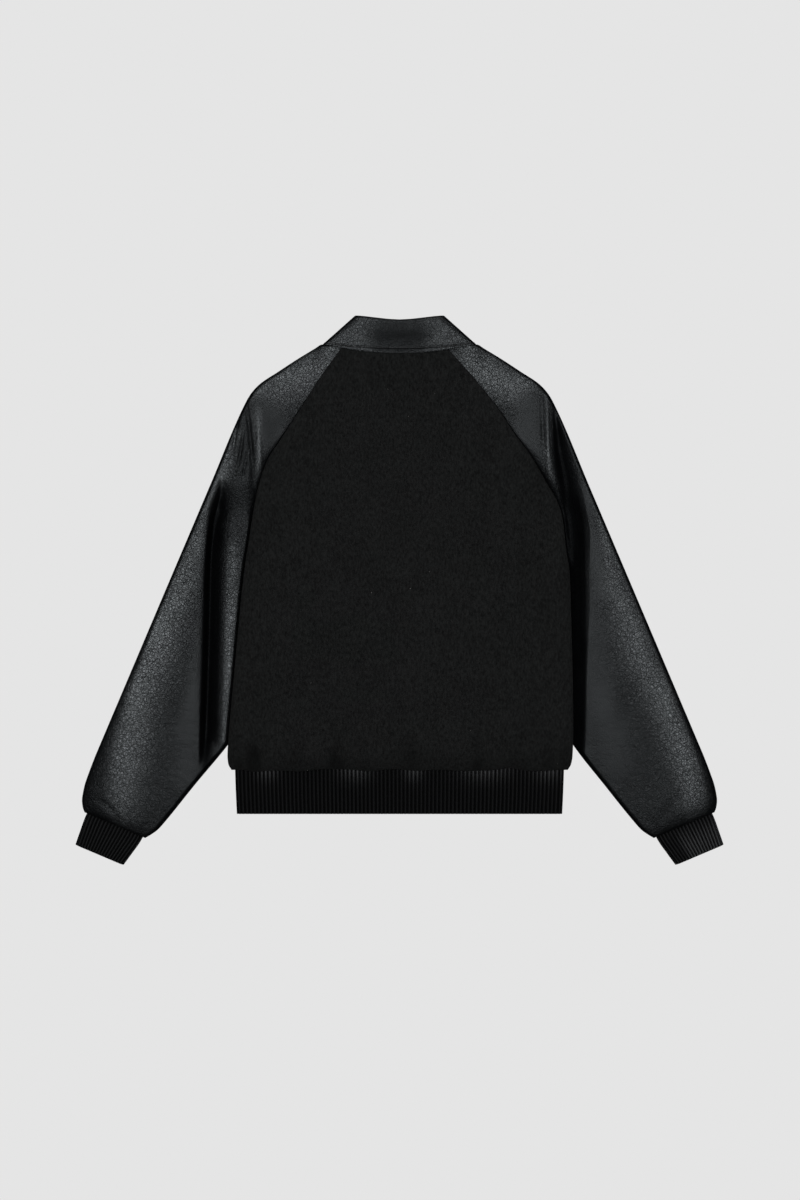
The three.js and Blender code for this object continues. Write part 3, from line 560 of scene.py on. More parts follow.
class Shader:
    """Builds one material's nodes."""

    def __init__(self, name: str) -> None:
        """Starts a material that holds a surface shader and its output."""
        self.material = bpy.data.materials.new(name)
        self.material.use_nodes = True
        self.tree = self.material.node_tree
        self.tree.nodes.clear()
        self.surface = self.tree.nodes.new("ShaderNodeBsdfPrincipled")
        self.output = self.tree.nodes.new("ShaderNodeOutputMaterial")
        self.tree.links.new(self.surface.outputs["BSDF"], self.output.inputs["Surface"])

    def node(self, kind: str, settings: dict[str, object], output: str | int = 0, **values: object) -> Signal:
        """Makes a node, sets it, then gives its sockets their values or links.

        Args:
            kind: Node type without its common start.
            settings: Properties of the node, set first.
            output: Which output is handed back.
            **values: Socket values or signals, by socket name with _ for a space, or as s0, s1 by place.

        Returns:
            The chosen output.
        """
        made = self.tree.nodes.new("ShaderNode" + kind)
        for key, value in settings.items():
            setattr(made, key, value)
        for key, value in values.items():
            by_place = key[0] == "s" and key[1:].isdigit()
            target = made.inputs[int(key[1:]) if by_place else key.replace("_", " ")]
            self.feed(target, value)
        return Signal(self, made.outputs[output])

    def feed(self, target: bpy.types.NodeSocket, value: object) -> None:
        """Links a signal to a socket, or sets a plain value on it."""
        if isinstance(value, Signal):
            self.tree.links.new(value.socket, target)
        else:
            target.default_value = value

    def math(self, operation: str, *values: "Signal | float") -> Signal:
        """One Math node."""
        return self.node("Math", {"operation": operation}, **{f"s{i}": v for i, v in enumerate(values)})

    def position(self) -> Signal:
        """Object coordinates in millimetres."""
        coordinates = self.node("TexCoord", {}, "Object")
        return self.node("VectorMath", {"operation": "SCALE"}, Vector=coordinates, Scale=1000.0)

    def stretched(self, vector: Signal, scale: tuple[float, float, float]) -> Signal:
        """A vector with each part multiplied."""
        return self.node("VectorMath", {"operation": "MULTIPLY"}, s0=vector, s1=scale)

    def mark(self, name: str) -> Signal:
        """A value kept at the points of the mesh."""
        return self.node("Attribute", {"attribute_name": name}, "Fac")

    def cloud(self, vector: Signal, size: float, detail: float = 2.0, roughness: float = 0.5) -> Signal:
        """Noise from 0 to 1 with features about `size` millimetres wide."""
        values = {"Scale": 1 / size, "Detail": detail, "Roughness": roughness}
        return self.node("TexNoise", {}, "Fac", Vector=vector, **values)

    def cell_edge(self, vector: Signal, size: float, reach: float) -> Signal:
        """0 on the edges of a cell pattern `size` millimetres wide, 1 from `reach` of a cell inwards."""
        settings = {"feature": "DISTANCE_TO_EDGE"}
        edge = self.node("TexVoronoi", settings, "Distance", Vector=vector, Scale=1 / size, Randomness=1.0)
        return self.window(edge, 0.0, reach)

    def window(self, value: Signal, low: float, high: float) -> Signal:
        """0 below `low`, 1 above `high`, eased between."""
        settings = {"interpolation_type": "SMOOTHSTEP"}
        return self.node("MapRange", settings, Value=value, From_Min=low, From_Max=high)

    def tint(self, share: Signal, dark: tuple[float, ...], light: tuple[float, ...]) -> Signal:
        """A colour `share` of the way from `dark` to `light`."""
        settings = {"data_type": "RGBA"}
        return self.node("Mix", settings, 2, s0=share, s6=(*dark, 1.0), s7=(*light, 1.0))

    def bump(self, height: Signal, distance: float) -> Signal:
        """A normal bent by a height, `distance` millimetres for a height of 1."""
        return self.node("Bump", {}, "Normal", Height=height, Distance=distance * MM, Strength=1.0)

    def finish(self, **values: object) -> bpy.types.Material:
        """Sets the surface's sockets and hands back the material."""
        for key, value in values.items():
            self.feed(self.surface.inputs[key.replace("_", " ")], value)
        return self.material

    def finish_mixed(
        self, share: Signal, levels: tuple[float, float], **values: object
    ) -> bpy.types.Material:
        """Sets a dull and a shiny surface alike and mixes them.

        Args:
            share: How much of the shiny one shows.
            levels: How strongly the dull and the shiny one reflect.
            **values: Socket values or signals of both.

        Returns:
            The material.
        """
        self.finish(Specular_IOR_Level=levels[0], **values)
        dull = Signal(self, self.surface.outputs["BSDF"])
        shiny = self.node("BsdfPrincipled", {}, "BSDF", Specular_IOR_Level=levels[1], **values)
        mixed = self.node("MixShader", {}, 0, s0=share, s1=dull, s2=shiny)
        self.tree.links.new(mixed.socket, self.output.inputs["Surface"])
        return self.material


@dataclass(frozen=True)
class Leather:
    """Black pebbled leather: cells between fine grooves, shinier on the cells and smoother where it is
    folded, with painted sheen in bands where highlights fall and painted shade in folds and valleys.

    `levels` are how strongly its dull and its shiny surface reflect.
    """

    name: str = "black_leather"
    cell: float = 3.5
    levels: tuple[float, float] = (0.015, 0.74)
    dark: tuple[float, float, float] = (0.0004, 0.0004, 0.0005)
    light: tuple[float, float, float] = (0.0016, 0.0018, 0.0020)

    def build(self) -> bpy.types.Material:
        """Cells, wide cracks and pores by the distance to the edges of three cell patterns."""
        s = Shader(self.name)
        place = s.position()
        drift = s.node("TexNoise", {}, "Color", Vector=place, Scale=1 / 9.0, Detail=2.0)
        bent = s.node("VectorMath", {"operation": "SCALE"}, Vector=drift, Scale=5.0)
        warped = s.node("VectorMath", {"operation": "ADD"}, s0=place, s1=bent)
        cells = s.cell_edge(warped, self.cell, 0.2)
        cracks = s.cell_edge(warped, self.cell * 2.3, 0.10)
        pores = s.cell_edge(warped, self.cell * 0.4, 0.2)
        grain, polish = s.mark("grain"), s.mark("polish")
        swell = s.cloud(place, 7.0, 2.0, 0.5)
        pebble = 0.10 + 0.90 * grain
        height = (cells * 0.36 + cracks * 0.38) * pebble + pores * 0.08 + swell * 0.8 * pebble
        worn = s.cloud(place, 42.0, 4.0, 0.55)
        shade = cells * 0.5 + worn * 0.5
        rough = 0.33 - 0.03 * grain + 0.20 * (1 - cells) * grain - 0.10 * (worn - 0.5)
        # Painted sheen: the share of the strongly reflecting surface follows the sheen bands, a little more
        # on the cells and cracks
        painted_sheen_share = polish * (0.55 + 0.45 * cells) * (0.55 + 0.45 * cracks)
        return s.finish_mixed(
            # Painted shade: the shade mark takes the strongly reflecting surface away in folds and valleys
            (0.18 + 0.80 * painted_sheen_share) * (1 - s.mark("dull")),
            self.levels,
            Base_Color=s.tint(shade, self.dark, self.light),
            Roughness=rough,
            Normal=s.bump(height, 0.62),
            Specular_Tint=(0.90, 0.965, 1.0, 1.0),
        )


@dataclass(frozen=True)
class WoolCloth:
    """Black brushed wool: felted fibres, faint cloudy shading and a few pale flecks of lint."""

    name: str = "black_wool"
    dark: tuple[float, float, float] = (0.0015, 0.0016, 0.0016)
    light: tuple[float, float, float] = (0.0100, 0.0106, 0.0105)
    fleck: tuple[float, float, float, float] = (0.22, 0.21, 0.2, 1.0)

    def build(self) -> bpy.types.Material:
        """Fibre noise at four sizes, and flecks at the middles of a wide scatter of cells."""
        s = Shader(self.name)
        place = s.position()
        felt = s.cloud(place, 0.9, 4.0, 0.7)
        nap = s.cloud(s.stretched(place, (1.0, 0.45, 1.0)), 2.6, 3.0, 0.6)
        cloud = s.cloud(place, 38.0, 4.0, 0.6)
        speck = s.node("TexVoronoi", {"feature": "F1"}, "Distance", Vector=place, Scale=1 / 26.0)
        lint = 1 - s.window(speck, 0.012, 0.022)
        tufts = s.cloud(place, 5.0, 2.0, 0.6)
        shade = s.window(felt * 0.42 + nap * 0.36 + cloud * 0.08 + tufts * 0.14, 0.34, 0.66)
        # Painted shade: the colour is darkened in the dents above the hem and along its edge
        shade = shade * (1 - 0.75 * s.mark("pressed"))
        body = s.tint(shade, self.dark, self.light)
        colour = s.node("Mix", {"data_type": "RGBA"}, 2, s0=lint * 0.55, s6=body, s7=self.fleck)
        normal = s.bump(felt * 0.6 + nap * 0.8, 0.45)
        return s.finish(
            Base_Color=colour,
            Roughness=0.93 + 0.05 * felt,
            Normal=normal,
            Specular_IOR_Level=0.03,
            Sheen_Weight=0.01,
            Sheen_Roughness=0.6,
        )


@dataclass(frozen=True)
class RibKnit:
    """Black rib knit: rows of small stitches leaning both ways along each rib, with painted shade in the
    furrows and painted highlights in places.
    """

    name: str = "black_rib"
    stitch: float = 1.7
    dark: tuple[float, float, float] = (0.0003, 0.0003, 0.0004)
    light: tuple[float, float, float] = (0.0600, 0.0620, 0.0640)

    def build(self) -> bpy.types.Material:
        """Stitches as waves down the rib, bent by the distance from its middle; painted shade darkens the
        furrows, and a mark paints highlights.
        """
        s = Shader(self.name)
        rib, along = s.mark("rib"), s.mark("along")
        lean = abs(rib - 0.5) * 2.2
        wave = s.math("SINE", (along / self.stitch + lean) * (2 * math.pi))
        place = s.position()
        fuzz = s.cloud(place, 0.8, 3.0, 0.7)
        ridge = 1 - s.window(abs(rib - 0.5), 0.04, 0.34)
        height = (wave * 0.5 + 0.5) * (0.35 + 0.65 * ridge) + fuzz * 0.5
        # Painted shade: the colour darkens into the furrows between ribs. Painted highlight: the colour
        # brightens where the mark read here is set.
        shade = ridge * (0.55 + 0.2 * wave + 0.4 * fuzz) * (0.10 + 0.90 * s.mark("painted_highlight"))
        return s.finish(
            Base_Color=s.tint(shade, self.dark, self.light),
            Roughness=0.88 + 0.08 * fuzz,
            Normal=s.bump(height, 0.4),
            Specular_IOR_Level=0.04,
        )


@dataclass(frozen=True)
class Thread:
    """Twisted black sewing thread."""

    name: str = "black_thread"

    def build(self) -> bpy.types.Material:
        """Fine noise on a satin black."""
        s = Shader(self.name)
        place = s.position()
        twist = s.cloud(place, 0.35, 2.0)
        colour = s.tint(twist, (0.004, 0.004, 0.004), (0.014, 0.014, 0.015))
        return s.finish(Base_Color=colour, Roughness=0.55 + 0.2 * twist, Normal=s.bump(twist, 0.06))


@dataclass(frozen=True)
class SnapPaint:
    """Black painted metal of the snap caps, rubbed brighter in places."""

    name: str = "black_snap"

    def build(self) -> bpy.types.Material:
        """Even paint with faint scuffs in its roughness."""
        s = Shader(self.name)
        place = s.position()
        scuff = s.cloud(s.stretched(place, (1.0, 0.3, 1.0)), 1.6, 4.0, 0.65)
        colour = s.tint(s.window(scuff, 0.62, 0.8), (0.018, 0.018, 0.019), (0.06, 0.06, 0.062))
        rough = 0.28 + 0.25 * scuff
        return s.finish(Base_Color=colour, Metallic=0.75, Roughness=rough, Normal=s.bump(scuff, 0.03))


@dataclass(frozen=True)
class Cut:
    """What a piece of cloth was before it was sewn: its node, its finish and the size it was cut to."""

    node: str
    slot: str
    flat: tuple[float, float]
    area: float | None
    rests_on: tuple[str, ...]

    def declare(self, piece: bpy.types.Object) -> None:
        """Hides the CAD node that the piece stands for and hangs the piece under the root body.

        Args:
            piece: The finished cloth.
        """
        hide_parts(self.node)
        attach(piece, "root")


def dress(wall: Wall, material: bpy.types.Material, cut: Cut) -> bpy.types.Object:
    piece = wall.build()
    piece.data.materials.append(material)
    cut.declare(piece)
    report(piece)
    return piece


def report(piece: bpy.types.Object) -> None:
    """Logs a piece's name and its number of faces."""
    LOG.info("%s: %d faces", piece.name, len(piece.data.polygons))


@dataclass
class Body:
    """The wool body: one back and two fronts."""

    cloth: bpy.types.Material
    rows: int = 205
    columns: int = 178
    front_rows: int = 150
    front_columns: int = 84
    # x, depth and width of the soft waves where the wool is gathered onto the hem rib
    hem_waves: tuple[tuple[float, float, float], ...] = (
        (-234, 2.0, 7), (-211, 4.8, 9), (-150, 1.2, 12), (-90, 4.2, 10), (-52, 1.4, 9), (17, 2.8, 13),
        (58, 1.0, 10), (117, 3.8, 11), (171, 1.2, 14), (217, 3.6, 9), (240, 1.8, 6),
    )

    def crown(self, x: Grid, y: Grid) -> Grid:
        """Height of the back's outer face in its middle: level, raised over the shoulder blades, with a
        swell above the hem cut by waves that fade upwards, and dents that lean a little."""
        low = ease((-120 - y) / 110)
        gather = ease((-172 - y) / 78)
        waves = np.zeros(x.shape)
        for at, depth, width in self.hem_waves:
            lean = (y + 258) * 0.22 * np.sign(-at)
            spread = width * (1 + 0.9 * ease((-150 - y) / -90))
            waves = waves + depth * np.exp(-(((x - at - lean) / spread) ** 2))
        puckers = noise(x, y * 0.25, 9.0, 31) * 0.55 * ease((-222 - y) / 30)
        blades = 1.2 * np.exp(-(((y - 150) / 110) ** 2)) * np.cos(x / 190 * math.pi)
        neck = (BACK_HEIGHT - NECK_HEIGHT) * ease((y - 300) / 45)
        soft = 0.5 * noise(x, y, 60.0, 3) + 0.22 * noise(x, y, 24.0, 4)
        level = BACK_HEIGHT + blades * (1 - ease((y - 250) / 90)) + low * 2.2 - neck
        return level - waves * gather + puckers + soft * ease((300 - y) / 60)

    def pressed(self, x: Grid, y: Grid) -> Grid:
        """Painted shade in the dents above the hem, darkest at its edge, from 0 to 1: how far the wool's
        colour is darkened there.
        """
        dents = sum(depth * np.exp(-(((x - at) / width) ** 2)) for at, depth, width in self.hem_waves)
        near = ease((-188 - y) / 66)
        return np.clip(0.19 * dents * near * (1 + 0.8 * noise(x, y, 16.0, 65)) + 0.3 * near**4, 0, 1)

    def back_layer(self, depth: float) -> Grid:
        """The back's face `depth` in from its outer one, on rows across.

        Straight rows cross from edge to edge; x leaves an edge by its rounding times one less the cosine of
        a turn, and the height by its sine. The last rows turn down over the hem in the same way.

        Args:
            depth: 0 for the outer face, the cloth's thickness for the inner one.

        Returns:
            Points by row and column.
        """
        across = Stations.spread(15, self.columns - 31)
        flat = np.linspace(NECK_Y, BACK_HEM_Y + HEM_TURN, self.rows)
        fall = falling(12)
        turned_y = BACK_HEM_Y + depth + (HEM_TURN - depth) * (1 - np.cos(fall))
        y = np.concatenate([flat, turned_y])
        turn = np.concatenate([np.full(len(flat), math.pi / 2), fall])[:, None]
        angle = upright(y)
        inset = depth * np.cos(angle)
        rounding = blend(26, 42, ease((y - 95) / 75)) - inset
        left = -body_edge(Side.LEFT, y) + GAP / 2 + inset
        right = body_edge(Side.RIGHT, y) - GAP / 2 - inset
        x = across.across(left, right, rounding, rounding)
        rim = np.where(y > UNDERARM_Y, back_seam(y) - WOOL, side_seam(y) + GAP / 2)
        edge = (rim + (WOOL - depth) * np.sin(angle))[:, None]
        row_y = np.broadcast_to(y[:, None], x.shape)
        hem = HEM_HEIGHT + GAP
        low = np.maximum(hem, edge)
        face = self.crown(x, row_y) - depth
        seam = 1.1 * np.exp(-((np.minimum(x - left[:, None], right[:, None] - x) / 3.2) ** 2))
        z = across.height(face, edge, low, turn) - seam * ease((row_y - 150) / 40) * (depth == 0)
        lap = 4.0 * noise(x, 0 * x, 34.0, 9) * ease((-238 - row_y) / 20) * ease((230 - np.abs(x)) / 20)
        return np.stack([x, row_y + lap - 2.0 * ease((-238 - row_y) / 20), z], axis=-1)

    def tucked(self, y: Grid) -> Grid:
        """1 where the sleeve's edge lies under the side of the body, 0 above and below."""
        return ease((UNDERARM_Y - 2 - y) / 22) * ease((y + 258) / 20)

    def front_height(self, side: Side, x: Grid, y: Grid) -> Grid:
        """Height of a front's outer face over the sleeve's edge, the collar leaf and the snaps."""
        inside = body_edge(side, y) - np.abs(x)
        beyond = inside - TUCK(y)
        sleeve = (TUCK_HEIGHT + TUCK_CLEARANCE) * self.tucked(y) * ease((40 - beyond) / 30)
        middle = np.maximum(SNAP_LIFT, neck_lift(0 * x, y))
        if side is Side.LEFT:
            centre = middle * ease((x + 38) / 25)
        else:
            centre = (middle + WOOL + GAP) * ease((50 - x) / 34)
        return np.maximum(np.maximum(sleeve, centre), neck_lift(x, y))

    def front_layer(self, side: Side, depth: float) -> Grid:
        """A front's face `depth` in from its outer one, which lies on the table.

        Rows run from the outer edge to the centre; each drops towards the centre by the neckline's curve,
        one less a power of what is left of the way, scaled by the cube of its height up the body.

        Args:
            side: Which front.
            depth: 0 for the outer face, the cloth's thickness for the inner one.

        Returns:
            Points by row and column.
        """
        sign = side.value
        across = Stations.spread(9, self.front_columns - 10, far_edge=False)
        y = np.linspace(NECK_Y, FRONT_HEM_Y, self.front_rows)
        angle = upright(y)
        inset = depth * np.cos(angle)
        edge_x = front_edge(side, y) - GAP / 2
        width = edge_x + OVERLAP
        rounding = FRONT_RAGLAN_ROUND - 11 * self.tucked(y) * (y <= UNDERARM_Y) - inset
        distance = across.across(inset, width, rounding, 0 * y)
        drop = (NECK_DROP * ((y - FRONT_HEM_Y) / (NECK_Y - FRONT_HEM_Y)) ** 3)[:, None]
        x = sign * (edge_x[:, None] - distance)
        place_y = y[:, None] - drop * (1 - (1 - distance / width[:, None]) ** NECK_POWER)
        rim = np.where(y > UNDERARM_Y, front_seam(side, y) + WOOL, side_seam(y) - GAP / 2)
        edge = (rim - (WOOL - depth) * np.sin(angle))[:, None]
        folds = 1.3 * furrows(x, place_y, 14 * sign, 46.0, 70 + sign) * ease((np.abs(x) - 40) / 40)
        base = self.front_height(side, x, place_y) + folds * ease((edge_x[:, None] - np.abs(x) - 62) / 30)
        return np.stack([x, place_y, edge + (base + depth - edge) * np.sin(across.turn)], axis=-1)

    def build(self) -> list[bpy.types.Object]:
        """The back and the fronts."""
        face = self.back_layer(0)
        marks = {"pressed": self.pressed(face[..., 0], face[..., 1])}
        back = Wall("wool_back", face, self.back_layer(WOOL), marks=marks)
        cut = Cut("back", "wool", (0.505, 0.62), 0.2596, ("hem_rib", "front_left"))
        made = [dress(back, self.cloth, cut)]
        for side, area in ((Side.LEFT, 0.127), (Side.RIGHT, 0.1333)):
            name = f"front_{side.label}"
            face = self.front_layer(side, 0)
            wall = Wall(f"wool_{name}", face, self.front_layer(side, WOOL), marks=even(face, pressed=0.0))
            made.append(dress(wall, self.cloth, Cut(name, "wool", (0.264, 0.602), area, ("table",))))
        return made


@dataclass(frozen=True)
class SleeveRows:
    """Rows of a sleeve leaf in plan, from the neck to the cuff, with x from the centre line."""

    outer: Grid
    inner: Grid
    down: Grid
    turn: Grid


@dataclass
class Sleeve:
    """A raglan leather sleeve: an upper and a lower leaf, joined on its outline and inside.

    `areas` are the cut areas of the two leaves, and `outer_round` is how far the outer edge is rounded.
    """

    side: Side
    leather: bpy.types.Material
    areas: tuple[float, float]
    outer_round: Curve
    creases: tuple[Crease, ...]
    smooth: tuple[Crease, ...]
    polished: tuple[Crease, ...]
    dulled: tuple[Crease, ...]
    raglan_rows: int = 92
    straight_rows: int = 196
    turn_rows: int = 10
    columns: int = 112
    lower_raglan_rows: int = 44
    lower_straight_rows: int = 96
    lower_columns: int = 56

    def place(self, s: Grid, q: Grid) -> Grid:
        """Point `s` down the sleeve and `q` across it, with x from the centre line."""
        sin, cos = math.sin(SLEEVE_LEAN), math.cos(SLEEVE_LEAN)
        return np.stack([s * sin - q * cos, -s * cos - q * sin], axis=-1)

    def down(self, x: Grid, y: Grid) -> Grid:
        """Distance down the sleeve of a place."""
        return x * math.sin(SLEEVE_LEAN) - y * math.cos(SLEEVE_LEAN)

    def cross(self, x: Grid, y: Grid) -> Grid:
        """Distance across the sleeve of a place."""
        return -x * math.cos(SLEEVE_LEAN) - y * math.sin(SLEEVE_LEAN)

    def past_crest(self, x: Grid, y: Grid) -> Grid:
        """Distance of a place from the crest towards the body."""
        return self.cross(x, y) + SLEEVE_REACH - CREST[self.side]

    @property
    def start(self) -> float:
        """Distance down the sleeve of the underarm."""
        return float(self.down(body_edge(self.side, UNDERARM_Y), UNDERARM_Y))

    def shoulder(self, share: Grid) -> Grid:
        """Points at even lengths along the shoulder line.

        Args:
            share: From 0 at the collar to 1 where the straight outer edge starts.

        Returns:
            Points in plan.
        """
        meets = self.place(np.array(self.start), SLEEVE_OUTER(self.start))
        rows = np.array([*SHOULDER, tuple(meets)], float)
        chord = np.concatenate([[0], np.cumsum(np.hypot(*np.diff(rows, axis=0).T))])
        fine = np.linspace(0, chord[-1], 600)
        x, y = (Curve(tuple(chord), tuple(rows[:, k]))(fine) for k in (0, 1))
        length = np.concatenate([[0], np.cumsum(np.hypot(np.diff(x), np.diff(y)))])
        at = np.interp(share * length[-1], length, fine)
        return np.stack([np.interp(at, fine, x), np.interp(at, fine, y)], axis=-1)

    def rows(self, end: float, counts: tuple[int, int, int], depth: float) -> SleeveRows:
        """Rows that follow the raglan seam to the underarm and the sleeve's line from there.

        Args:
            end: Distance down the sleeve of its last row.
            counts: Rows beside the raglan seam, down the sleeve, and turning down to the cuff.
            depth: How far in from the outer face.

        Returns:
            The rows.
        """
        raglan, straight, turning = counts
        share = np.arange(raglan) / raglan
        seam_y = NECK_Y + (UNDERARM_Y - NECK_Y) * share
        line = body_edge if turning else front_edge
        seam = np.stack([line(self.side, seam_y) + GAP / 2, seam_y], axis=-1)
        hidden_y = np.array(TUCK.at, float)
        hidden_x = body_edge(self.side, hidden_y) - np.array(TUCK.value)
        under = (self.start, float(self.cross(line(self.side, UNDERARM_Y) + GAP / 2, UNDERARM_Y)))
        hidden = zip(self.down(hidden_x, hidden_y), self.cross(hidden_x, hidden_y))
        edge = np.array([under, *hidden, *SLEEVE_INNER_END], float)
        last = end - SLEEVE_TURN if turning else end
        s = np.linspace(self.start, last, straight)
        fall = falling(turning)
        ending = end - depth - (SLEEVE_TURN - depth) * (1 - np.cos(fall))
        s = np.concatenate([s, ending])
        inner = self.place(s, Curve(tuple(edge[:, 0]), tuple(edge[:, 1]))(s))
        outer = self.place(s, SLEEVE_OUTER(s))
        turn = np.concatenate([np.full(raglan + straight, math.pi / 2), fall])
        outer, inner = np.concatenate([self.shoulder(share), outer]), np.concatenate([seam, inner])
        down = self.down(inner[:, 0], inner[:, 1])
        return SleeveRows(outer, inner, down, turn)

    def spread(self, rows: SleeveRows, across: Stations, rounds: tuple[Grid, Grid], depth: float) -> Grid:
        """Places of the stations on the rows, with level cut edges moved in by the depth.

        Args:
            rows: Rows of the leaf.
            across: Stations across it.
            rounds: Reach of the outer and the inner rounded edge on each row.
            depth: How far in from the outer face.

        Returns:
            Points in plan by row and column, with x from the centre line.
        """
        run = rows.inner - rows.outer
        width = np.hypot(run[:, 0], run[:, 1])
        inset = depth * np.cos(upright(rows.inner[:, 1]))
        first = np.minimum(rounds[0], 0.38 * width) - depth
        last = np.minimum(rounds[1], 0.38 * width) - inset
        distance = across.across(np.full(len(width), depth), width - inset, first, last)
        return rows.outer[:, None, :] + (run / width[:, None])[:, None, :] * distance[..., None]

    def beside_body(self, x: Grid, y: Grid, full: Grid) -> Grid:
        """The full height held down beside the side of the body, easing off above the underarm."""
        outside = x - body_edge(self.side, y)
        inward = GROOVE_WALL[self.side](y) - x
        if self.side is Side.RIGHT:
            inward = inward * GROOVE_WIDTH / np.maximum(inward + outside, 8)
        held = np.minimum(full, np.minimum(GROOVE[self.side](inward), EDGE_RISE(outside)))
        low = ease((-205 - y) / 55)
        freed = np.minimum(full, blend(held, full, low * ease((outside - 6) / 20)))
        return blend(full, freed, ease((162 - y) / 55))

    def fullness(self, x: Grid, y: Grid) -> Grid:
        """Height of the smooth face: highest along a crest near the outer line, falling steadily from there
        to the body, and falling to the shoulder line above the shoulder patch.

        A fall starts softly: its distance squared, divided by the distance plus 12."""
        inward = np.maximum(self.past_crest(x, y), 0)
        lower = ease((self.down(x, y) - 20) / 120)
        upward = np.maximum(y - 278 + 0.2 * (x - 175), 0) * ease((x - 100) / 30)
        falls = CREST_FALL * lower * inward**2 / (inward + 12) + SHOULDER_FALL * upward**2 / (upward + 12)
        return FULLNESS(self.down(x, y)) - falls

    def folds(self, x: Grid, y: Grid) -> Grid:
        """Height that the creases add, in troughs and ridges laid one over the other."""
        return -sum((crease.depth_at(x, y) for crease in self.creases), np.zeros(x.shape))

    def wrinkles(self, x: Grid, y: Grid) -> Grid:
        """Small uneven relief: thin creases along the sleeve, finer low down, and gathers at the cuff."""
        s, q = self.down(x, y), self.cross(x, y)
        seed = self.side.value
        long = furrows(x, y, -23.0, 30.0, 11 + seed)
        crinkles = furrows(x, y, 78.0, 7.0, 21 + seed)
        wide = noise(x, y, 38.0, 41 + seed)
        low = ease((s - 160) / 160) * ease(self.past_crest(x, y) / 30)
        gathers = (np.sin(q / 5.2 + 2.2 * noise(q, s, 14.0, 51)) - 1) * ease((s - 440) / 26)
        return 0.55 * wide - 0.25 * long - 0.34 * crinkles * low + 0.45 * gathers

    def upper_layer(self, depth: float) -> Grid:
        """The upper leaf's face `depth` in from its outer one.

        A fold sinks by the room above the floor times one less an exponential that falls with the fold's
        own depth over that room, so no fold reaches the lower leaf.

        Args:
            depth: 0 for the outer face, the leather's thickness for the inner one.

        Returns:
            Points by row and column, with x from the centre line.
        """
        rows = self.rows(SLEEVE_UPPER_END, (self.raglan_rows, self.straight_rows, self.turn_rows), depth)
        across = Stations.spread(13, self.columns - 27)
        seam_y = rows.inner[:, 1]
        share = beside_raglan(seam_y)
        inner_round = blend(UPPER_INNER_ROUND(rows.down), 32, share)
        plan = self.spread(rows, across, (self.outer_round(rows.down), inner_round), depth)
        x, y = plan[..., 0], plan[..., 1]
        s = self.down(x, y)
        full = self.fullness(x, y)
        rim = blend(INNER_SEAM(rows.down) + GAP / 2, back_seam(seam_y) - LEATHER, share)
        inner_edge = (rim + (LEATHER - depth) * np.sin(upright(seam_y)))[:, None]
        edge = np.where(across.right, inner_edge, OUTER_SEAM(s) + GAP / 2)
        outside = x - body_edge(self.side, y)
        clear = np.where(y > UNDERARM_Y + 10, 1.0, ease((outside - 1) / 8))
        edge_clear = ease((s - 468) / -16)
        held = self.beside_body(x, y, full)
        relief = (self.folds(x, y) + self.wrinkles(x, y) * (depth == 0)) * clear * edge_clear
        room = np.maximum(held - SLEEVE_FLOOR, 0.5)
        sunk = room * np.expm1(np.minimum(relief, 0) / room)
        face = np.maximum(held + sunk + np.maximum(relief, 0), SLEEVE_FLOOR) - depth
        z = across.height(face, edge, CUFF_HEIGHT + GAP, rows.turn[:, None])
        return np.stack([x, y, z], axis=-1)

    def lower_layer(self, depth: float) -> Grid:
        """The lower leaf's face `depth` in from its outer one, which lies on the table.

        Args:
            depth: 0 for the outer face, the leather's thickness for the inner one.

        Returns:
            Points by row and column, with x from the centre line.
        """
        rows = self.rows(SLEEVE_LOWER_END, (self.lower_raglan_rows, self.lower_straight_rows, 0), 0)
        across = Stations.spread(8, self.lower_columns - 17)
        seam_y = rows.inner[:, 1]
        share = beside_raglan(seam_y)
        inner_round = blend(LOWER_INNER_ROUND(rows.down), 18, share)
        plan = self.spread(rows, across, (np.full(len(seam_y), 24.0), inner_round), depth)
        x, y = plan[..., 0], plan[..., 1]
        rim = blend(INNER_SEAM(rows.down) - GAP / 2, front_seam(self.side, seam_y) + LEATHER, share)
        inner_edge = (rim - (LEATHER - depth) * np.sin(upright(seam_y)))[:, None]
        edge = np.where(across.right, inner_edge, OUTER_SEAM(self.down(x, y)) - GAP / 2)
        inside = np.minimum(across.flat, 1 - across.flat) * 2
        folds = 0.9 * furrows(x, y, 23.0, 38.0, 90 + self.side.value) * ease(inside / 0.25)
        base = neck_lift(x, y) + folds * (depth == 0) * 0.9
        return np.stack([x, y, edge + (base + depth - edge) * np.sin(across.turn)], axis=-1)

    def grain(self, x: Grid, y: Grid) -> Grid:
        """How strongly the leather is pebbled: full, less on the smooth patches."""
        value = np.full(x.shape, 1.0)
        for patch in self.smooth:
            value = value - patch.depth_at(x, y)
        return np.clip(value + 0.25 * noise(x, y, 30.0, 61), 0, 1)

    def strongest(self, bands: tuple[Crease, ...], x: Grid, y: Grid) -> Grid:
        """The strongest of some bands at each place, a little uneven, from 0 to 1."""
        value = np.zeros(x.shape)
        for band in bands:
            value = np.maximum(value, band.depth_at(x, y))
        return np.clip(value * (1 + 0.25 * noise(x, y, 22.0, 63)), 0, 1)

    def build(self) -> list[bpy.types.Object]:
        """Both leaves."""
        sign = np.array([self.side.value, 1, 1])
        upper, lower = self.upper_layer(0), self.lower_layer(0)
        x, y = upper[..., 0], upper[..., 1]
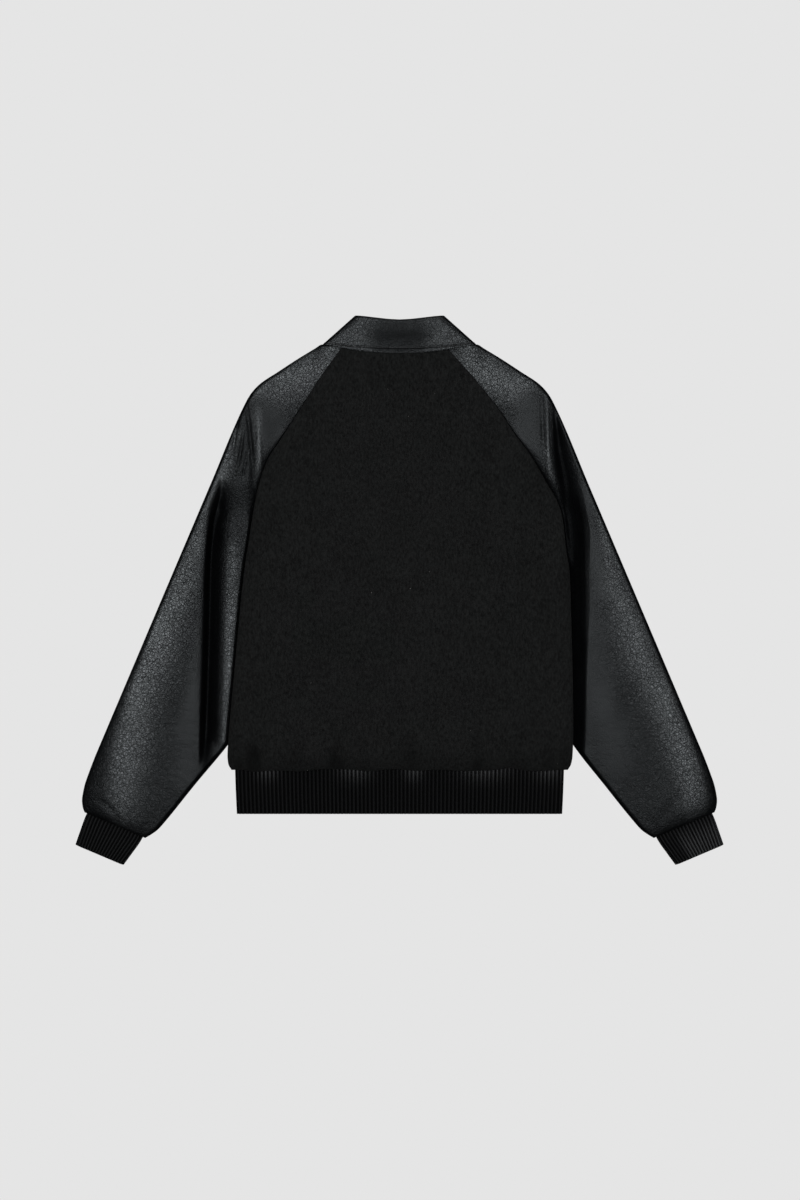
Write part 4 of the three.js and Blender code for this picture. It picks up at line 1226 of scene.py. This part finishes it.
        # Painted sheen and painted shade, read from their bands
        shine, dull = self.strongest(self.polished, x, y), self.strongest(self.dulled, x, y)
        marks = {"grain": self.grain(x, y), "polish": shine, "dull": dull}
        back, front = (f"sleeve_{self.side.label}_{leaf}" for leaf in ("back", "front"))
        leaves = (
            (back, upper, self.upper_layer(LEATHER), marks, front),
            (front, lower, self.lower_layer(LEATHER), even(lower, grain=0.8, polish=0.3, dull=0.0), "table"),
        )
        made = []
        for (node, outer, inner, values, under), area in zip(leaves, self.areas):
            wall = Wall(f"leather_{node}", outer * sign, inner * sign, marks=values)
            made.append(dress(wall, self.leather, Cut(node, "leather", (0.24, 0.8), area, (under,))))
        return made


# Troughs and ridges in the shape of the sleeves. Each row here is one of a crease's path.
LEFT_CREASES = creases(
    ((221, 269, 1.2, 1.8, 2.6), (217, 240, 3.0, 1.8, 3), (214, 210, 3.6, 1.8, 4),
     (211, 175, 3.6, 1.8, 4), (209.5, 139, 2.0, 2.5, 5)),
    ((205, 252, -0.6, 4, 3), (204, 218, -2.2, 4, 3), (201, 180, -2.4, 4, 3), (200, 150, -0.6, 4, 3)),
    ((254, 172, 0.5, 6, 4), (260, 142, 4.5, 9, 5), (267, 118, 6, 10, 5), (273, 92, 1.5, 10, 4),
     (276, 76, 0, 10, 4)),
    ((232, 250, 1.4, 2.6, 2.6), (238, 222, 2.6, 2.6, 2.6), (241, 196, 0.6, 2.6, 2.6)),
    ((226, 226, 1.6, 2.4, 2.4), (230, 196, 2.4, 2.4, 2.4), (236, 170, 0.3, 2.4, 2.4)),
    ((220, 200, 1.2, 2.2, 2.2), (224, 176, 1.8, 2.2, 2.2), (229, 156, 0.3, 2.2, 2.2)),
    ((434, -303, 1.0, 3, 3), (425, -308, 2.2, 3.5, 3), (415, -318, 2.0, 4, 4), (406, -328, 0.6, 4, 4)),
)
# Patches where the pebbles are flattened
LEFT_SMOOTH = creases(
    ((206, 280, 0.5, 22, 16), (188, 250, 0.95, 26, 26), (180, 228, 0.95, 22, 24),
     (176, 208, 0.4, 18, 18)),
    ((288, -60, 0.4, 14, 12), (296, -130, 0.7, 16, 14), (302, -190, 0.85, 20, 20),
     (310, -268, 0.8, 20, 22)),
    ((258, 165, 0.8, 8, 7), (267, 100, 1.2, 13, 12), (272, 34, 1.3, 14, 13), (274, -85, 1.3, 13, 14),
     (275, -204, 1.3, 13, 14), (278, -252, 1.2, 12, 12)),
)
RIGHT_CREASES = creases(
    ((213, 286, -0.8, 3.2, 2.6), (214, 240, -2.4, 3.2, 2.6), (216, 170, -1.6, 3.2, 2.6)),
    ((206, 278, 0.8, 2.4, 2.4), (207, 230, 1.8, 2.4, 2.4), (210, 178, 0.8, 2.4, 2.4)),
    ((223, 270, 1.5, 2.4, 3), (227, 240, 8, 4, 6), (231, 205, 14, 6, 10), (238, 168, 17, 9, 13),
     (249, 105, 18, 10, 15), (255, 66, 10, 10, 13), (257, 30, 0, 10, 11)),
    ((398, -300, 1.2, 7, 8), (380, -335, 1.4, 8, 8)),
)
RIGHT_SMOOTH = creases(
    ((204, 290, 0.4, 14, 14), (188, 268, 0.95, 26, 20), (180, 235, 0.95, 22, 22),
     (190, 205, 0.6, 14, 14)),
    ((282, -20, 0.5, 16, 18), (290, -130, 0.75, 20, 24), (316, -250, 0.7, 26, 26)),
    ((226, 250, 1.0, 5, 6), (238, 168, 1.3, 12, 13), (252, 90, 1.3, 13, 15), (259, 20, 1.3, 13, 13),
     (261, -245, 1.3, 12, 12)),
    ((262, 150, 0.8, 8, 10), (280, 60, 0.8, 10, 12), (290, 0, 0.6, 12, 14)),
)

# Bands of painted sheen: the leather is made strongly reflective here, so highlights fall on it
LEFT_PAINTED_SHEEN = creases(
    ((100, 340, 0.78, 20, 24), (140, 312, 0.86, 30, 26), (175, 300, 0.86, 24, 26),
     (205, 288, 0.62, 12, 18)),
    ((238, 225, 0.5, 8, 12), (262, 150, 0.6, 10, 14), (285, 85, 0.5, 12, 16), (318, 5, 0.75, 24, 26),
     (352, -80, 1.0, 28, 26), (383, -150, 1.0, 30, 24), (394, -225, 0.84, 28, 22),
     (404, -300, 0.66, 24, 18), (404, -340, 0.4, 22, 16)),
    ((205, 262, 0.3, 6, 5), (204, 220, 1.0, 4, 4), (201, 170, 1.0, 4, 4), (203, 146, 0.6, 4, 4)),
    ((240, 60, 0.35, 8, 9), (244, -40, 0.65, 7, 9), (248, -130, 0.8, 6, 8), (252, -215, 0.6, 5, 7)),
)
RIGHT_PAINTED_SHEEN = creases(
    ((100, 340, 0.8, 20, 24), (130, 312, 0.9, 26, 24), (160, 295, 0.82, 20, 22),
     (188, 303, 0.64, 14, 14)),
    ((244, 232, 0.4, 4, 5), (264, 180, 0.4, 4, 5), (286, 120, 0.4, 5, 6), (302, 60, 0.45, 9, 10),
     (314, 0, 0.6, 18, 16), (342, -80, 0.75, 22, 17), (372, -140, 0.78, 22, 17),
     (400, -205, 0.8, 20, 17), (420, -270, 0.85, 20, 17), (430, -325, 0.7, 20, 17)),
    ((212, 285, 0.4, 3, 3), (213, 240, 0.9, 4, 3), (216, 172, 0.9, 4, 3), (222, 150, 0.3, 3, 3)),
    ((222, 282, 0.3, 3, 3), (224, 250, 0.6, 3, 3), (226, 222, 0.2, 3, 3)),
)
# Bands of painted shade: the leather's reflection is taken away here, so these folds and valleys stay dark
LEFT_PAINTED_SHADE = creases(
    ((200, 262, 0.2, 20, 12), (186, 240, 0.32, 22, 18), (182, 218, 0.28, 16, 16)),
    ((218, 245, 0.2, 2, 2), (214, 210, 0.3, 2, 3), (212, 165, 0.3, 2, 3)),
    ((260, 140, 0.2, 6, 4), (266, 108, 1.1, 9, 8), (270, 76, 1.5, 11, 9), (273, 40, 1.4, 11, 9),
     (276, -85, 1.25, 11, 9), (278, -204, 1.0, 12, 10), (279, -256, 0.9, 12, 10)),
)
RIGHT_PAINTED_SHADE = creases(
    ((224, 268, 0.5, 3, 3), (227, 245, 0.9, 4, 5), (238, 168, 1.2, 9, 12), (250, 90, 1.6, 14, 13),
     (258, 20, 1.3, 14, 10), (261, -250, 0.95, 13, 8)),
)
# Cut areas of the two leaves, rounding of the outer edge down the sleeve, and the creases, smooth patches,
# painted sheen bands and painted shade bands of each sleeve
SLEEVES = {
    Side.LEFT: (
        (0.0973, 0.0923),
        Curve(at=(-200, -60, 0, 100, 200, 307, 395, 460), value=(6, 6, 6, 6, 8, 18, 34, 44)),
        LEFT_CREASES, LEFT_SMOOTH, LEFT_PAINTED_SHEEN, LEFT_PAINTED_SHADE,
    ),
    Side.RIGHT: (
        (0.0925, 0.087),
        Curve(at=(-200, -60, 0, 100, 300, 380, 474), value=(6, 6, 6, 6, 9, 13, 22)),
        RIGHT_CREASES, RIGHT_SMOOTH, RIGHT_PAINTED_SHEEN, RIGHT_PAINTED_SHADE,
    ),
}
# Middles and widths of the painted highlights along the top of the hem rib
RIB_PAINTED_HIGHLIGHTS = ((-192, 15), (-64, 22), (20, 13), (124, 33), (215, 20))


@dataclass(frozen=True)
class BandLine:
    """Roll line and free edge of half a collar band, against the share of its length."""

    share: tuple[float, ...]
    roll_x: tuple[float, ...]
    roll_y: tuple[float, ...]
    edge_x: tuple[float, ...]
    edge_y: tuple[float, ...]

    def at(self, part: Grid) -> tuple[Grid, Grid]:
        """Roll line and free edge at shares of the length."""
        lines = ((self.roll_x, self.roll_y), (self.edge_x, self.edge_y))
        roll, edge = (np.stack([Curve(self.share, axis)(part) for axis in line], axis=-1) for line in lines)
        return roll, edge


FALL_BACK = BandLine(
    (0, 0.3, 0.6, 0.85, 1), (0, 15, 31, 44, 51), (392, 392.8, 394.5, 396, 396.8),
    (0, 31, 62, 88, 100.5), (343.4, 344.2, 347.4, 352, 354.2),
)
FALL_FRONT = BandLine(
    (0, 0.3, 0.65, 1), (51, 45, 25, 1.5), (396.8, 362, 327, 299),
    (100.5, 103, 82, 52), (354.2, 310, 268, 230),
)
STAND_BACK = BandLine(
    (0, 0.3, 0.6, 0.85, 1), (0, 14.6, 30, 43, 50), (390.8, 391.6, 393.3, 394.8, 395.6),
    (0, 28, 58, 82, 93), (352.4, 352.4, 352.4, 352.6, 356),
)
STAND_FRONT = BandLine(
    (0, 0.3, 1), (50, 45.6, 2), (395.6, 361.6, 298.4), (93, 71, 2), (356, 331, 272),
)
# How far the fold at each side of the collar reaches out, at the roll line and at the free edge
FOLD_AT_ROLL = (13.8, 1.3)
FOLD_AT_EDGE = (11.5, 1.8)


@dataclass
class Collar:
    """The leather collar: a fall over a stand, folded flat at both sides of the neck."""

    leather: bpy.types.Material
    thread: bpy.types.Material
    facing: float = 7.4
    stitch: float = 2.5
    pitch: float = 3.5
    thread_radius: float = 0.36
    back_steps: int = 56
    fold_steps: int = 15
    front_steps: int = 44

    def half(self) -> tuple[Grid, Grid]:
        """Share of the length and turn of the stations of one half: back, fold at the side, front."""
        back, front = np.linspace(0, 0.985, self.back_steps), np.linspace(0.06, 1, self.front_steps)
        turn = np.linspace(0, math.pi, self.fold_steps)
        share = np.concatenate([back, np.ones(len(turn)), front])
        return share, np.concatenate([0 * back, turn, np.full(len(front), math.pi)])

    def neckline_edge(self, share: Grid) -> Grid:
        """Free edge of the stand's front leaf: just above the neckline of a front, from its raglan seam to
        the middle.

        The neckline drops by one less a power of what is left of the way from the seam.
        """
        edge_x = body_edge(Side.RIGHT, NECK_Y) - GAP
        x = blend(edge_x, 2.0, (share - share.min()) / (1 - share.min()))
        left = 1 - (edge_x - x) / (edge_x + OVERLAP)
        return np.stack([x, NECK_Y + 2 * GAP - NECK_DROP * (1 - left**NECK_POWER)], axis=-1)

    def band(
        self, lines: tuple[BandLine, BandLine], heights: tuple[float, float], inside: float, down: Grid
    ) -> Grid:
        """Points of a band on one half, turned over at the side fold.

        The height is the middle of the two leaves plus half their distance times the cosine of the turn,
        and the fold reaches out by its own vector times the square root of the sine.

        Args:
            lines: Lines of the back leaf and the front leaf.
            heights: Height of the back leaf and of the front leaf.
            inside: How far in from the outermost layer the band folds.
            down: Shares from the roll line to the free edge.

        Returns:
            Points by row and station.
        """
        share, turn = self.half()
        front = np.arange(len(turn)) >= self.back_steps + self.fold_steps
        roll_b, edge_b = lines[0].at(share)
        roll_f, edge_f = lines[1].at(share)
        roll = np.where(front[:, None], roll_f, roll_b)
        edge = np.where(front[:, None], edge_f, edge_b)
        if lines[1] is STAND_FRONT:
            edge[front] = self.neckline_edge(share[front])
        fold = blend(np.array(FOLD_AT_ROLL), np.array(FOLD_AT_EDGE), down[:, None])
        fold = fold * (1 - inside / np.hypot(*fold.T))[:, None]
        plan = roll[None] + (edge - roll)[None] * down[:, None, None]
        plan = plan + fold[:, None, :] * np.where(front, 0.0, np.sqrt(np.abs(np.sin(turn))))[None, :, None]
        top, bottom = heights
        z = (top + bottom) / 2 + (top - bottom) / 2 * np.cos(turn)
        return np.concatenate([plan, np.broadcast_to(z[None, :, None], (*plan.shape[:2], 1))], axis=-1)

    @staticmethod
    def both(half: Grid) -> Grid:
        """The left half mirrored before the right one."""
        mirrored = half[:, :0:-1] * np.array([-1, 1, 1])
        return np.concatenate([mirrored, half], axis=1)

    def fall_relief(self, half: Grid, down: Grid) -> Grid:
        """Height added over the fall: a raised facing along the free edge with a sunk stitch line, a soft
        hollow at the centre back, corners that swell, and a rounded roll."""
        share, turn = self.half()
        length = np.hypot(*(half[-1, :, :2] - half[0, :, :2]).T)[None, :]
        from_edge = (1 - down[:, None]) * length
        from_roll = down[:, None] * length
        line = self.facing_width(share)
        groove = -1.0 * np.exp(-(((from_edge - line) / 1.4) ** 2))
        facing = 0.5 * ease((line + 0.5 - from_edge) / 2) * ease(from_edge / 1.5)
        rolled = -2.0 * (1 - np.sqrt(np.clip(1 - (1 - np.clip(from_roll / 5.0, 0, 1)) ** 2, 0, 1)))
        top = turn[None, :] < 1e-6
        x = half[..., 0]
        across = np.sin(math.pi * np.clip(down[:, None], 0, 1))
        hollow = -2.6 * np.exp(-((x / 34) ** 4)) * across
        corner = 1.6 * ease((x - 36) / 20) * np.sin(math.pi * np.clip(down[:, None] * 0.9 + 0.1, 0, 1))
        waves = 0.5 * noise(x, half[..., 1], 16.0, 81)
        lift = (facing + hollow + corner + waves * across) * top
        under = turn[None, :] > math.pi - 1e-6
        return lift + groove * (top | under) * np.where(top, 1, -1) + rolled * np.cos(turn)[None, :]

    def facing_width(self, share: Grid) -> Grid:
        """Distance from the free edge to the stitch line: level in the middle, narrowing to the corner."""
        return self.facing - 3.4 * ease((share - 0.35) / 0.6)

    def fall_half(self, depth: float, down: Grid) -> Grid:
        """One half of the fall, `depth` in from its outer face."""
        heights = (NECK_HEIGHT + GAP + FALL_LEATHER - depth, depth)
        half = self.band((FALL_BACK, FALL_FRONT), heights, depth, down).copy()
        if depth == 0:
            half[..., 2] += self.fall_relief(half, down)
        return half

    def stitches(self) -> bpy.types.Object:
        """Topstitching along the facing: short rounded threads set end to end in the sunk line."""
        down = np.linspace(0, 1, 200)
        half = self.both(self.fall_half(0, down))
        length = np.hypot(*(half[-1, :, :2] - half[0, :, :2]).T)
        share = self.half()[0]
        line = self.facing_width(np.concatenate([share[:0:-1], share]))
        row = np.clip(np.round((1 - line / length) * 199).astype(int), 0, 199)
        line = half[row, np.arange(half.shape[1])]
        run = np.concatenate([[0], np.cumsum(np.linalg.norm(np.diff(line, axis=0), axis=1))])
        middle = np.arange(self.pitch, run[-1] - self.pitch, self.pitch)
        ends = [np.stack([np.interp(middle + d, run, line[:, k]) for k in range(3)], -1) for d in (-1, 1)]
        centre = (ends[0] + ends[1]) / 2
        along = (ends[1] - ends[0]) / np.linalg.norm(ends[1] - ends[0], axis=1, keepdims=True)
        up = np.where(centre[:, 2:3] > 12, 1.0, -1.0) * np.array([[0.0, 0.0, 1.0]])
        side = np.cross(along, up)
        side /= np.linalg.norm(side, axis=1, keepdims=True)
        up = np.cross(side, along)
        ring = np.arange(6) / 6 * 2 * math.pi
        reach = np.linspace(-1, 1, 6) * self.stitch / 2
        radius = self.thread_radius * np.sqrt(np.clip(1 - np.linspace(-1, 1, 6) ** 4, 0.06, 1))
        points = (
            centre[:, None, None, :]
            + along[:, None, None, :] * reach[None, :, None, None]
            + side[:, None, None, :] * (radius[:, None] * np.cos(ring))[None, :, :, None]
            + up[:, None, None, :] * (radius[:, None] * np.sin(ring) + 0.12)[None, :, :, None]
        )
        caps = np.array([[0, 1, 2, 3], [0, 3, 4, 5], [30, 33, 32, 31], [30, 35, 34, 33]])
        one = np.concatenate([ring_faces(6, 6), caps])
        faces = (np.arange(len(middle))[:, None, None] * 36 + one[None]).reshape(-1, 4)
        piece = mesh_object("collar_topstitching", points.reshape(-1, 3), faces)
        piece.data.materials.append(self.thread)
        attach(piece, "root")
        report(piece)
        return piece

    def build(self) -> list[bpy.types.Object]:
        """The fall with its topstitching, and the stand."""
        parts = (np.linspace(0, 0.14, 8)[:-1], np.linspace(0.14, 0.62, 9)[:-1], np.linspace(0.62, 1, 26))
        down = np.concatenate(parts)
        outer, inner = self.both(self.fall_half(0, down)), self.both(self.fall_half(FALL_LEATHER, down))
        x = np.abs(outer[..., 0])
        # Painted shade and flatter pebbles in the hollow at the centre back
        hollow = np.exp(-((x / 50) ** 4) - ((outer[..., 1] - 369) / 15) ** 2)
        # Painted sheen growing towards the sides of the collar
        polish = 0.06 + 0.38 * ease((x - 26) / 30)
        marks = {"grain": 0.9 - 0.6 * hollow, "polish": polish, "dull": 0.8 * hollow}
        fall = Wall("leather_collar_fall", outer, inner, marks=marks).build()
        fall.data.materials.append(self.leather)
        thread = self.stitches()
        Cut("collar_fall", "leather", (0.5, 0.08), 0.031, ("back", "table")).declare(fall)
        report(fall)
        rows = np.linspace(0, 1, 14)
        layers = []
        for depth in (0.0, STAND_LEATHER):
            heights = (NECK_HEIGHT - depth, LEAF_LIFT + depth)
            half = self.band((STAND_BACK, STAND_FRONT), heights, LEAF_LIFT + depth, rows)
            layers.append(self.both(half))
        plain = even(layers[0], grain=0.7, polish=0.0, dull=0.0)
        stand = Wall("leather_collar_stand", *layers, marks=plain)
        cut = Cut("collar_stand", "leather", (0.42, 0.055), 0.0174, ("collar_fall",))
        return [fall, thread, dress(stand, self.leather, cut)]


@dataclass(frozen=True)
class Section:
    """Section of a flattened knit tube: level top and bottom with round sides.

    `cx` runs from -1 to 1 between the round sides, `ax` is added to it, and the normal points out.
    """

    cx: Grid
    ax: Grid
    z: Grid
    nx: Grid
    nz: Grid
    phase: Grid

    @classmethod
    def flattened(cls, height: float, half: float, ribs: int, points: int, lap: float | None) -> "Section":
        """A section with evenly spaced ribs.

        The way round is measured from under the middle: level to one side, half a turn up, over the top,
        half a turn down and level back. With a lap the last end rises over the first.

        Args:
            height: Height of the flattened tube.
            half: Half its width.
            ribs: Number of ribs round it.
            points: Points to a rib.
            lap: How far the two ends pass the middle, or None for a closed ring.

        Returns:
            The section.
        """
        radius = height / 2
        flat = half - radius
        reach = lap or 0.0
        total = 4 * flat + 2 * math.pi * radius + 2 * reach
        count = ribs * points + (0 if lap is None else 1)
        t = np.arange(count) / (ribs * points) * total - reach
        first, second = flat, flat + math.pi * radius
        third, fourth = second + 2 * flat, second + 2 * flat + math.pi * radius
        left = (t > first) & (t <= second)
        top = (t > second) & (t <= third)
        right = (t > third) & (t <= fourth)
        turn = np.where(left, -math.pi / 2 - (t - first) / radius, math.pi / 2 - (t - third) / radius)
        x = np.where(t <= first, -t, np.where(top, t - second - flat, fourth + flat - t))
        round_side = left | right
        cx = np.where(left, -1.0, np.where(right, 1.0, x / flat))
        nx = np.where(round_side, np.cos(turn), 0.0)
        nz = np.where(round_side, np.sin(turn), np.where(top, 1.0, -1.0))
        lift = 0.0 if lap is None else (RIB_PEAK + GAP) * ease((lap + 14 - x) / 10) * (t > fourth)
        z = radius * (1 + nz) + lift
        phase = (t + reach) / total * ribs
        return cls(cx, radius * nx, z, nx, nz, phase % 1.0)


@dataclass
class Ribbing:
    """A ribbed knit tube laid flat: the hem or a cuff."""

    name: str
    knit: bpy.types.Material
    cut: Cut
    section: Section
    centre: Grid
    half: Grid
    along: Grid
    height: float
    sign: int = 1
    lean: float = 0.0
    ring: bool = True
    groove: float = 1.7
    # Painted highlights in the knit's colour: bright places along the top, an even level over the whole tube,
    # and a level that grows towards the far end
    painted_highlights: tuple[tuple[float, float], ...] = ()
    even_painted_highlight: float = 0.01
    end_painted_highlight: float = 0.0

    def layer(self, depth: float) -> Grid:
        """Points of the tube: grooves between ribs outside, plain inside.

        A rib's outer face sinks by the groove's depth times one less the square root of the sine across it.

        Args:
            depth: 0 for the ribbed outer face, the knit's thickness for the inner one.

        Returns:
            Points by row and place round the tube.
        """
        rib = self.section
        rounding = 1 - np.sqrt(np.abs(np.sin(math.pi * rib.phase)))
        inset = depth if depth else self.groove * rounding
        radius = self.height / 2
        across = self.centre[:, None] + rib.cx * (self.half[:, None] - radius) + rib.ax - rib.nx * inset
        z = np.broadcast_to(rib.z - rib.nz * inset, across.shape)
        wave = 0.5 * noise(across, self.along[:, None], 26.0, 17) * (rib.nz > 0.9) * (depth == 0)
        ends = np.sin(math.pi * (self.along - self.along[0]) / (self.along[-1] - self.along[0]))[:, None]
        z = z + np.minimum(wave * ends, 0.0)
        down = np.broadcast_to(self.along[:, None], across.shape)
        x = down * math.sin(self.lean) - across * math.cos(self.lean)
        y = -down * math.cos(self.lean) - across * math.sin(self.lean)
        return np.stack([self.sign * x, y, z], axis=-1)

    def build(self) -> bpy.types.Object:
        """The dressed tube."""
        outer = self.layer(0)
        along = np.broadcast_to(self.along[:, None], outer.shape[:2])
        # Painted highlight mark, which brightens the knit's colour
        bells = [np.exp(-(((outer[..., 0] - at) / width) ** 2)) for at, width in self.painted_highlights]
        down = along - self.along[0]
        away = 1 - ease((self.section.cx - 0.3) / 0.35)
        painted_highlight = sum(bells, 0.0) * np.exp(-((down / 20) ** 2)) + self.even_painted_highlight
        painted_highlight = painted_highlight + self.end_painted_highlight * ease((down - 4) / 36) * away
        marks = {"rib": self.section.phase, "along": along, "painted_highlight": np.clip(painted_highlight, 0, 1)}
        return dress(Wall(self.name, outer, self.layer(RIB_PEAK), self.ring, marks), self.knit, self.cut)


def hem_rib(knit: bpy.types.Material) -> Ribbing:
    """The hem: one strip of rib whose ends lap under the middle."""
    down = np.linspace(250.3, 324, 21)
    half = Curve((250.3, 290, 324), (239.3, 238, 236.4))(down)
    section = Section.flattened(HEM_HEIGHT, 239.3, 172, 8, OVERLAP)
    cut = Cut("hem_rib", "rib", (0.99, 0.078), None, ("table",))
    return Ribbing(
        "rib_hem", knit, cut, section, 0 * down, half, down, HEM_HEIGHT, ring=False, painted_highlights=RIB_PAINTED_HIGHLIGHTS
    )


def cuff_rib(side: Side, knit: bpy.types.Material) -> Ribbing:
    """A cuff: a closed tube of rib in line with its sleeve."""
    down = np.linspace(466.3, 522.8, 24)
    outer, inner = CUFF_OUTER(down), CUFF_INNER(down)
    section = Section.flattened(CUFF_HEIGHT, 44.0, 38, 8, None)
    node = f"cuff_{side.label}"
    cut = Cut(node, "rib", (0.2, 0.058), None, ("table",))
    middle, half = (outer + inner) / 2, (inner - outer) / 2
    # Painted highlight that grows towards the end of the right cuff
    painted_highlight = {Side.LEFT: 0.0, Side.RIGHT: 0.62}[side]
    return Ribbing(
        f"rib_{node}", knit, cut, section, middle, half, down, CUFF_HEIGHT, side.value, SLEEVE_LEAN,
        even_painted_highlight=0.10, end_painted_highlight=painted_highlight,
    )


@dataclass
class Snaps:
    """Painted snap caps down the centre front, under the left front."""

    paint: bpy.types.Material
    around: int = 40

    def cap(self, number: int, y: float) -> bpy.types.Object:
        """One cap: a low dome with a rolled rim and a shallow ring, turned round its axis.

        Args:
            number: Place from the top.
            y: Where it sits.

        Returns:
            The cap.
        """
        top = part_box(f"snap_{number}")[1].z / MM
        r = SNAP_RADIUS
        radius = np.array([0.05, 1.5, 3.0, 4.2, 4.7, 5.2, 5.8, 6.4, 6.9, 7.25, 7.45, r, r, 0.05])[:, None]
        height = np.array([0, 0.02, 0.1, 0.22, 0.5, 0.5, 0.16, 0.05, 0.1, 0.28, 0.55, 0.9, top, top])[:, None]
        turn = np.arange(self.around) / self.around * 2 * math.pi
        points = np.stack([radius * np.cos(turn), y + radius * np.sin(turn), height + 0 * turn], axis=-1)
        k = np.arange(self.around // 2 - 1)
        low = np.stack([k, k + 1, self.around - 2 - k, self.around - 1 - k], axis=-1)
        high = low[:, ::-1] + (len(radius) - 1) * self.around
        faces = np.concatenate([ring_faces(len(radius), self.around), low, high])
        piece = mesh_object(f"snap_cap_{number}", points.reshape(-1, 3), faces)
        piece.data.materials.append(self.paint)
        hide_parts(f"snap_{number}")
        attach(piece, "root")
        report(piece)
        return piece

    def build(self) -> list[bpy.types.Object]:
        """All the caps from the neck down."""
        return [self.cap(i + 1, y) for i, y in enumerate(SNAP_ROWS_Y)]


@dataclass
class Studio:
    """A plain pale floor, soft boxes overhead and around, and the camera straight above."""

    floor_value: float = 0.7835
    camera_height: float = 4.0
    view_height: float = 1.74
    reference: float = 0.012
    box_size: tuple[float, float] = (0.78, 3.2)
    box_place: tuple[float, float, float] = (0.87, 0.3, 3.0)
    box_power: float = 68.0
    fill_size: tuple[float, float] = (2.6, 1.0)
    fill_place: tuple[float, float] = (3.0, 1.5)
    fill_power: float = 9.0
    world: float = 0.018
    floor_half: float = 6.0
    floor_z: float = -0.0006

    def build(self) -> None:
        """Floor, lights, world and camera."""
        self.floor()
        self.lights()
        self.camera()
        bpy.context.scene.view_settings.view_transform = "Standard"
        LOG.info("studio: floor, lights and camera")

    def floor(self) -> None:
        """An even pale floor that throws no light on the jacket."""
        shader = Shader("pale_floor")
        white = (self.floor_value, self.floor_value, self.floor_value, 1.0)
        shader.finish(Base_Color=(0, 0, 0, 1), Roughness=1.0, Emission_Color=white, Emission_Strength=1.0)
        shader.surface.inputs["Specular IOR Level"].default_value = 0.0
        mesh = bpy.data.meshes.new("floor")
        corners = ((-1, -1), (1, -1), (1, 1), (-1, 1))
        points = [(self.floor_half * x, self.floor_half * y, self.floor_z) for x, y in corners]
        mesh.from_pydata(points, [], [(0, 1, 2, 3)])
        mesh.materials.append(shader.material)
        floor = bpy.data.objects.new("floor", mesh)
        floor.visible_diffuse = False
        floor.visible_glossy = False
        bpy.context.scene.collection.objects.link(floor)

    def lights(self) -> None:
        """Two long soft boxes overhead, one at each side with a dark gap between, and four weak ones low
        around the table, in a dim room."""
        x, y, z = self.box_place
        far, low = self.fill_place
        table = []
        for side in Side:
            table.append((f"{side.label}_box", self.box_size, self.box_power, (side.value * x, y, z)))
        around = ((-far, 0.0), (far, 0.0), (0.0, -far), (0.0, far))
        for i, place in enumerate(around):
            table.append((f"fill_{i}", self.fill_size, self.fill_power, (*place, low)))
        for name, size, power, place in table:
            light = bpy.data.lights.new(name, "AREA")
            light.shape, light.energy = "RECTANGLE", power
            light.size, light.size_y = size
            thing = bpy.data.objects.new(name, light)
            thing.location = place
            if name.startswith("fill"):
                thing.rotation_euler = (-Vector(place)).to_track_quat("-Z", "Y").to_euler()
            thing.visible_camera = False
            bpy.context.scene.collection.objects.link(thing)
        world = bpy.data.worlds.new("dim_room")
        world.use_nodes = True
        background = world.node_tree.nodes["Background"]
        background.inputs["Color"].default_value = (self.world, self.world, self.world, 1.0)
        bpy.context.scene.world = world

    def camera(self) -> None:
        """Straight above, its view `view_height` long at the height of the outline."""
        lens = bpy.data.cameras.new("camera")
        lens.sensor_fit = "VERTICAL"
        lens.angle = 2 * math.atan(self.view_height / 2 / (self.camera_height - self.reference))
        lens.clip_start, lens.clip_end = 0.1, 50.0
        camera = bpy.data.objects.new("camera", lens)
        camera.location = (0.0007, -0.0138, self.camera_height)
        bpy.context.scene.collection.objects.link(camera)
        bpy.context.scene.camera = camera


def main() -> None:
    """Builds the jacket piece by piece, then the studio."""
    logging.basicConfig(level=logging.INFO, format="%(name)s: %(message)s")
    wool, leather, knit = WoolCloth().build(), Leather().build(), RibKnit().build()
    Body(wool).build()
    for side in Side:
        Sleeve(side, leather, *SLEEVES[side]).build()
    Collar(leather, Thread().build()).build()
    hem_rib(knit).build()
    for side in Side:
        cuff_rib(side, knit).build()
    Snaps(SnapPaint().build()).build()
    Studio().build()


if __name__ == "__main__":
    main()
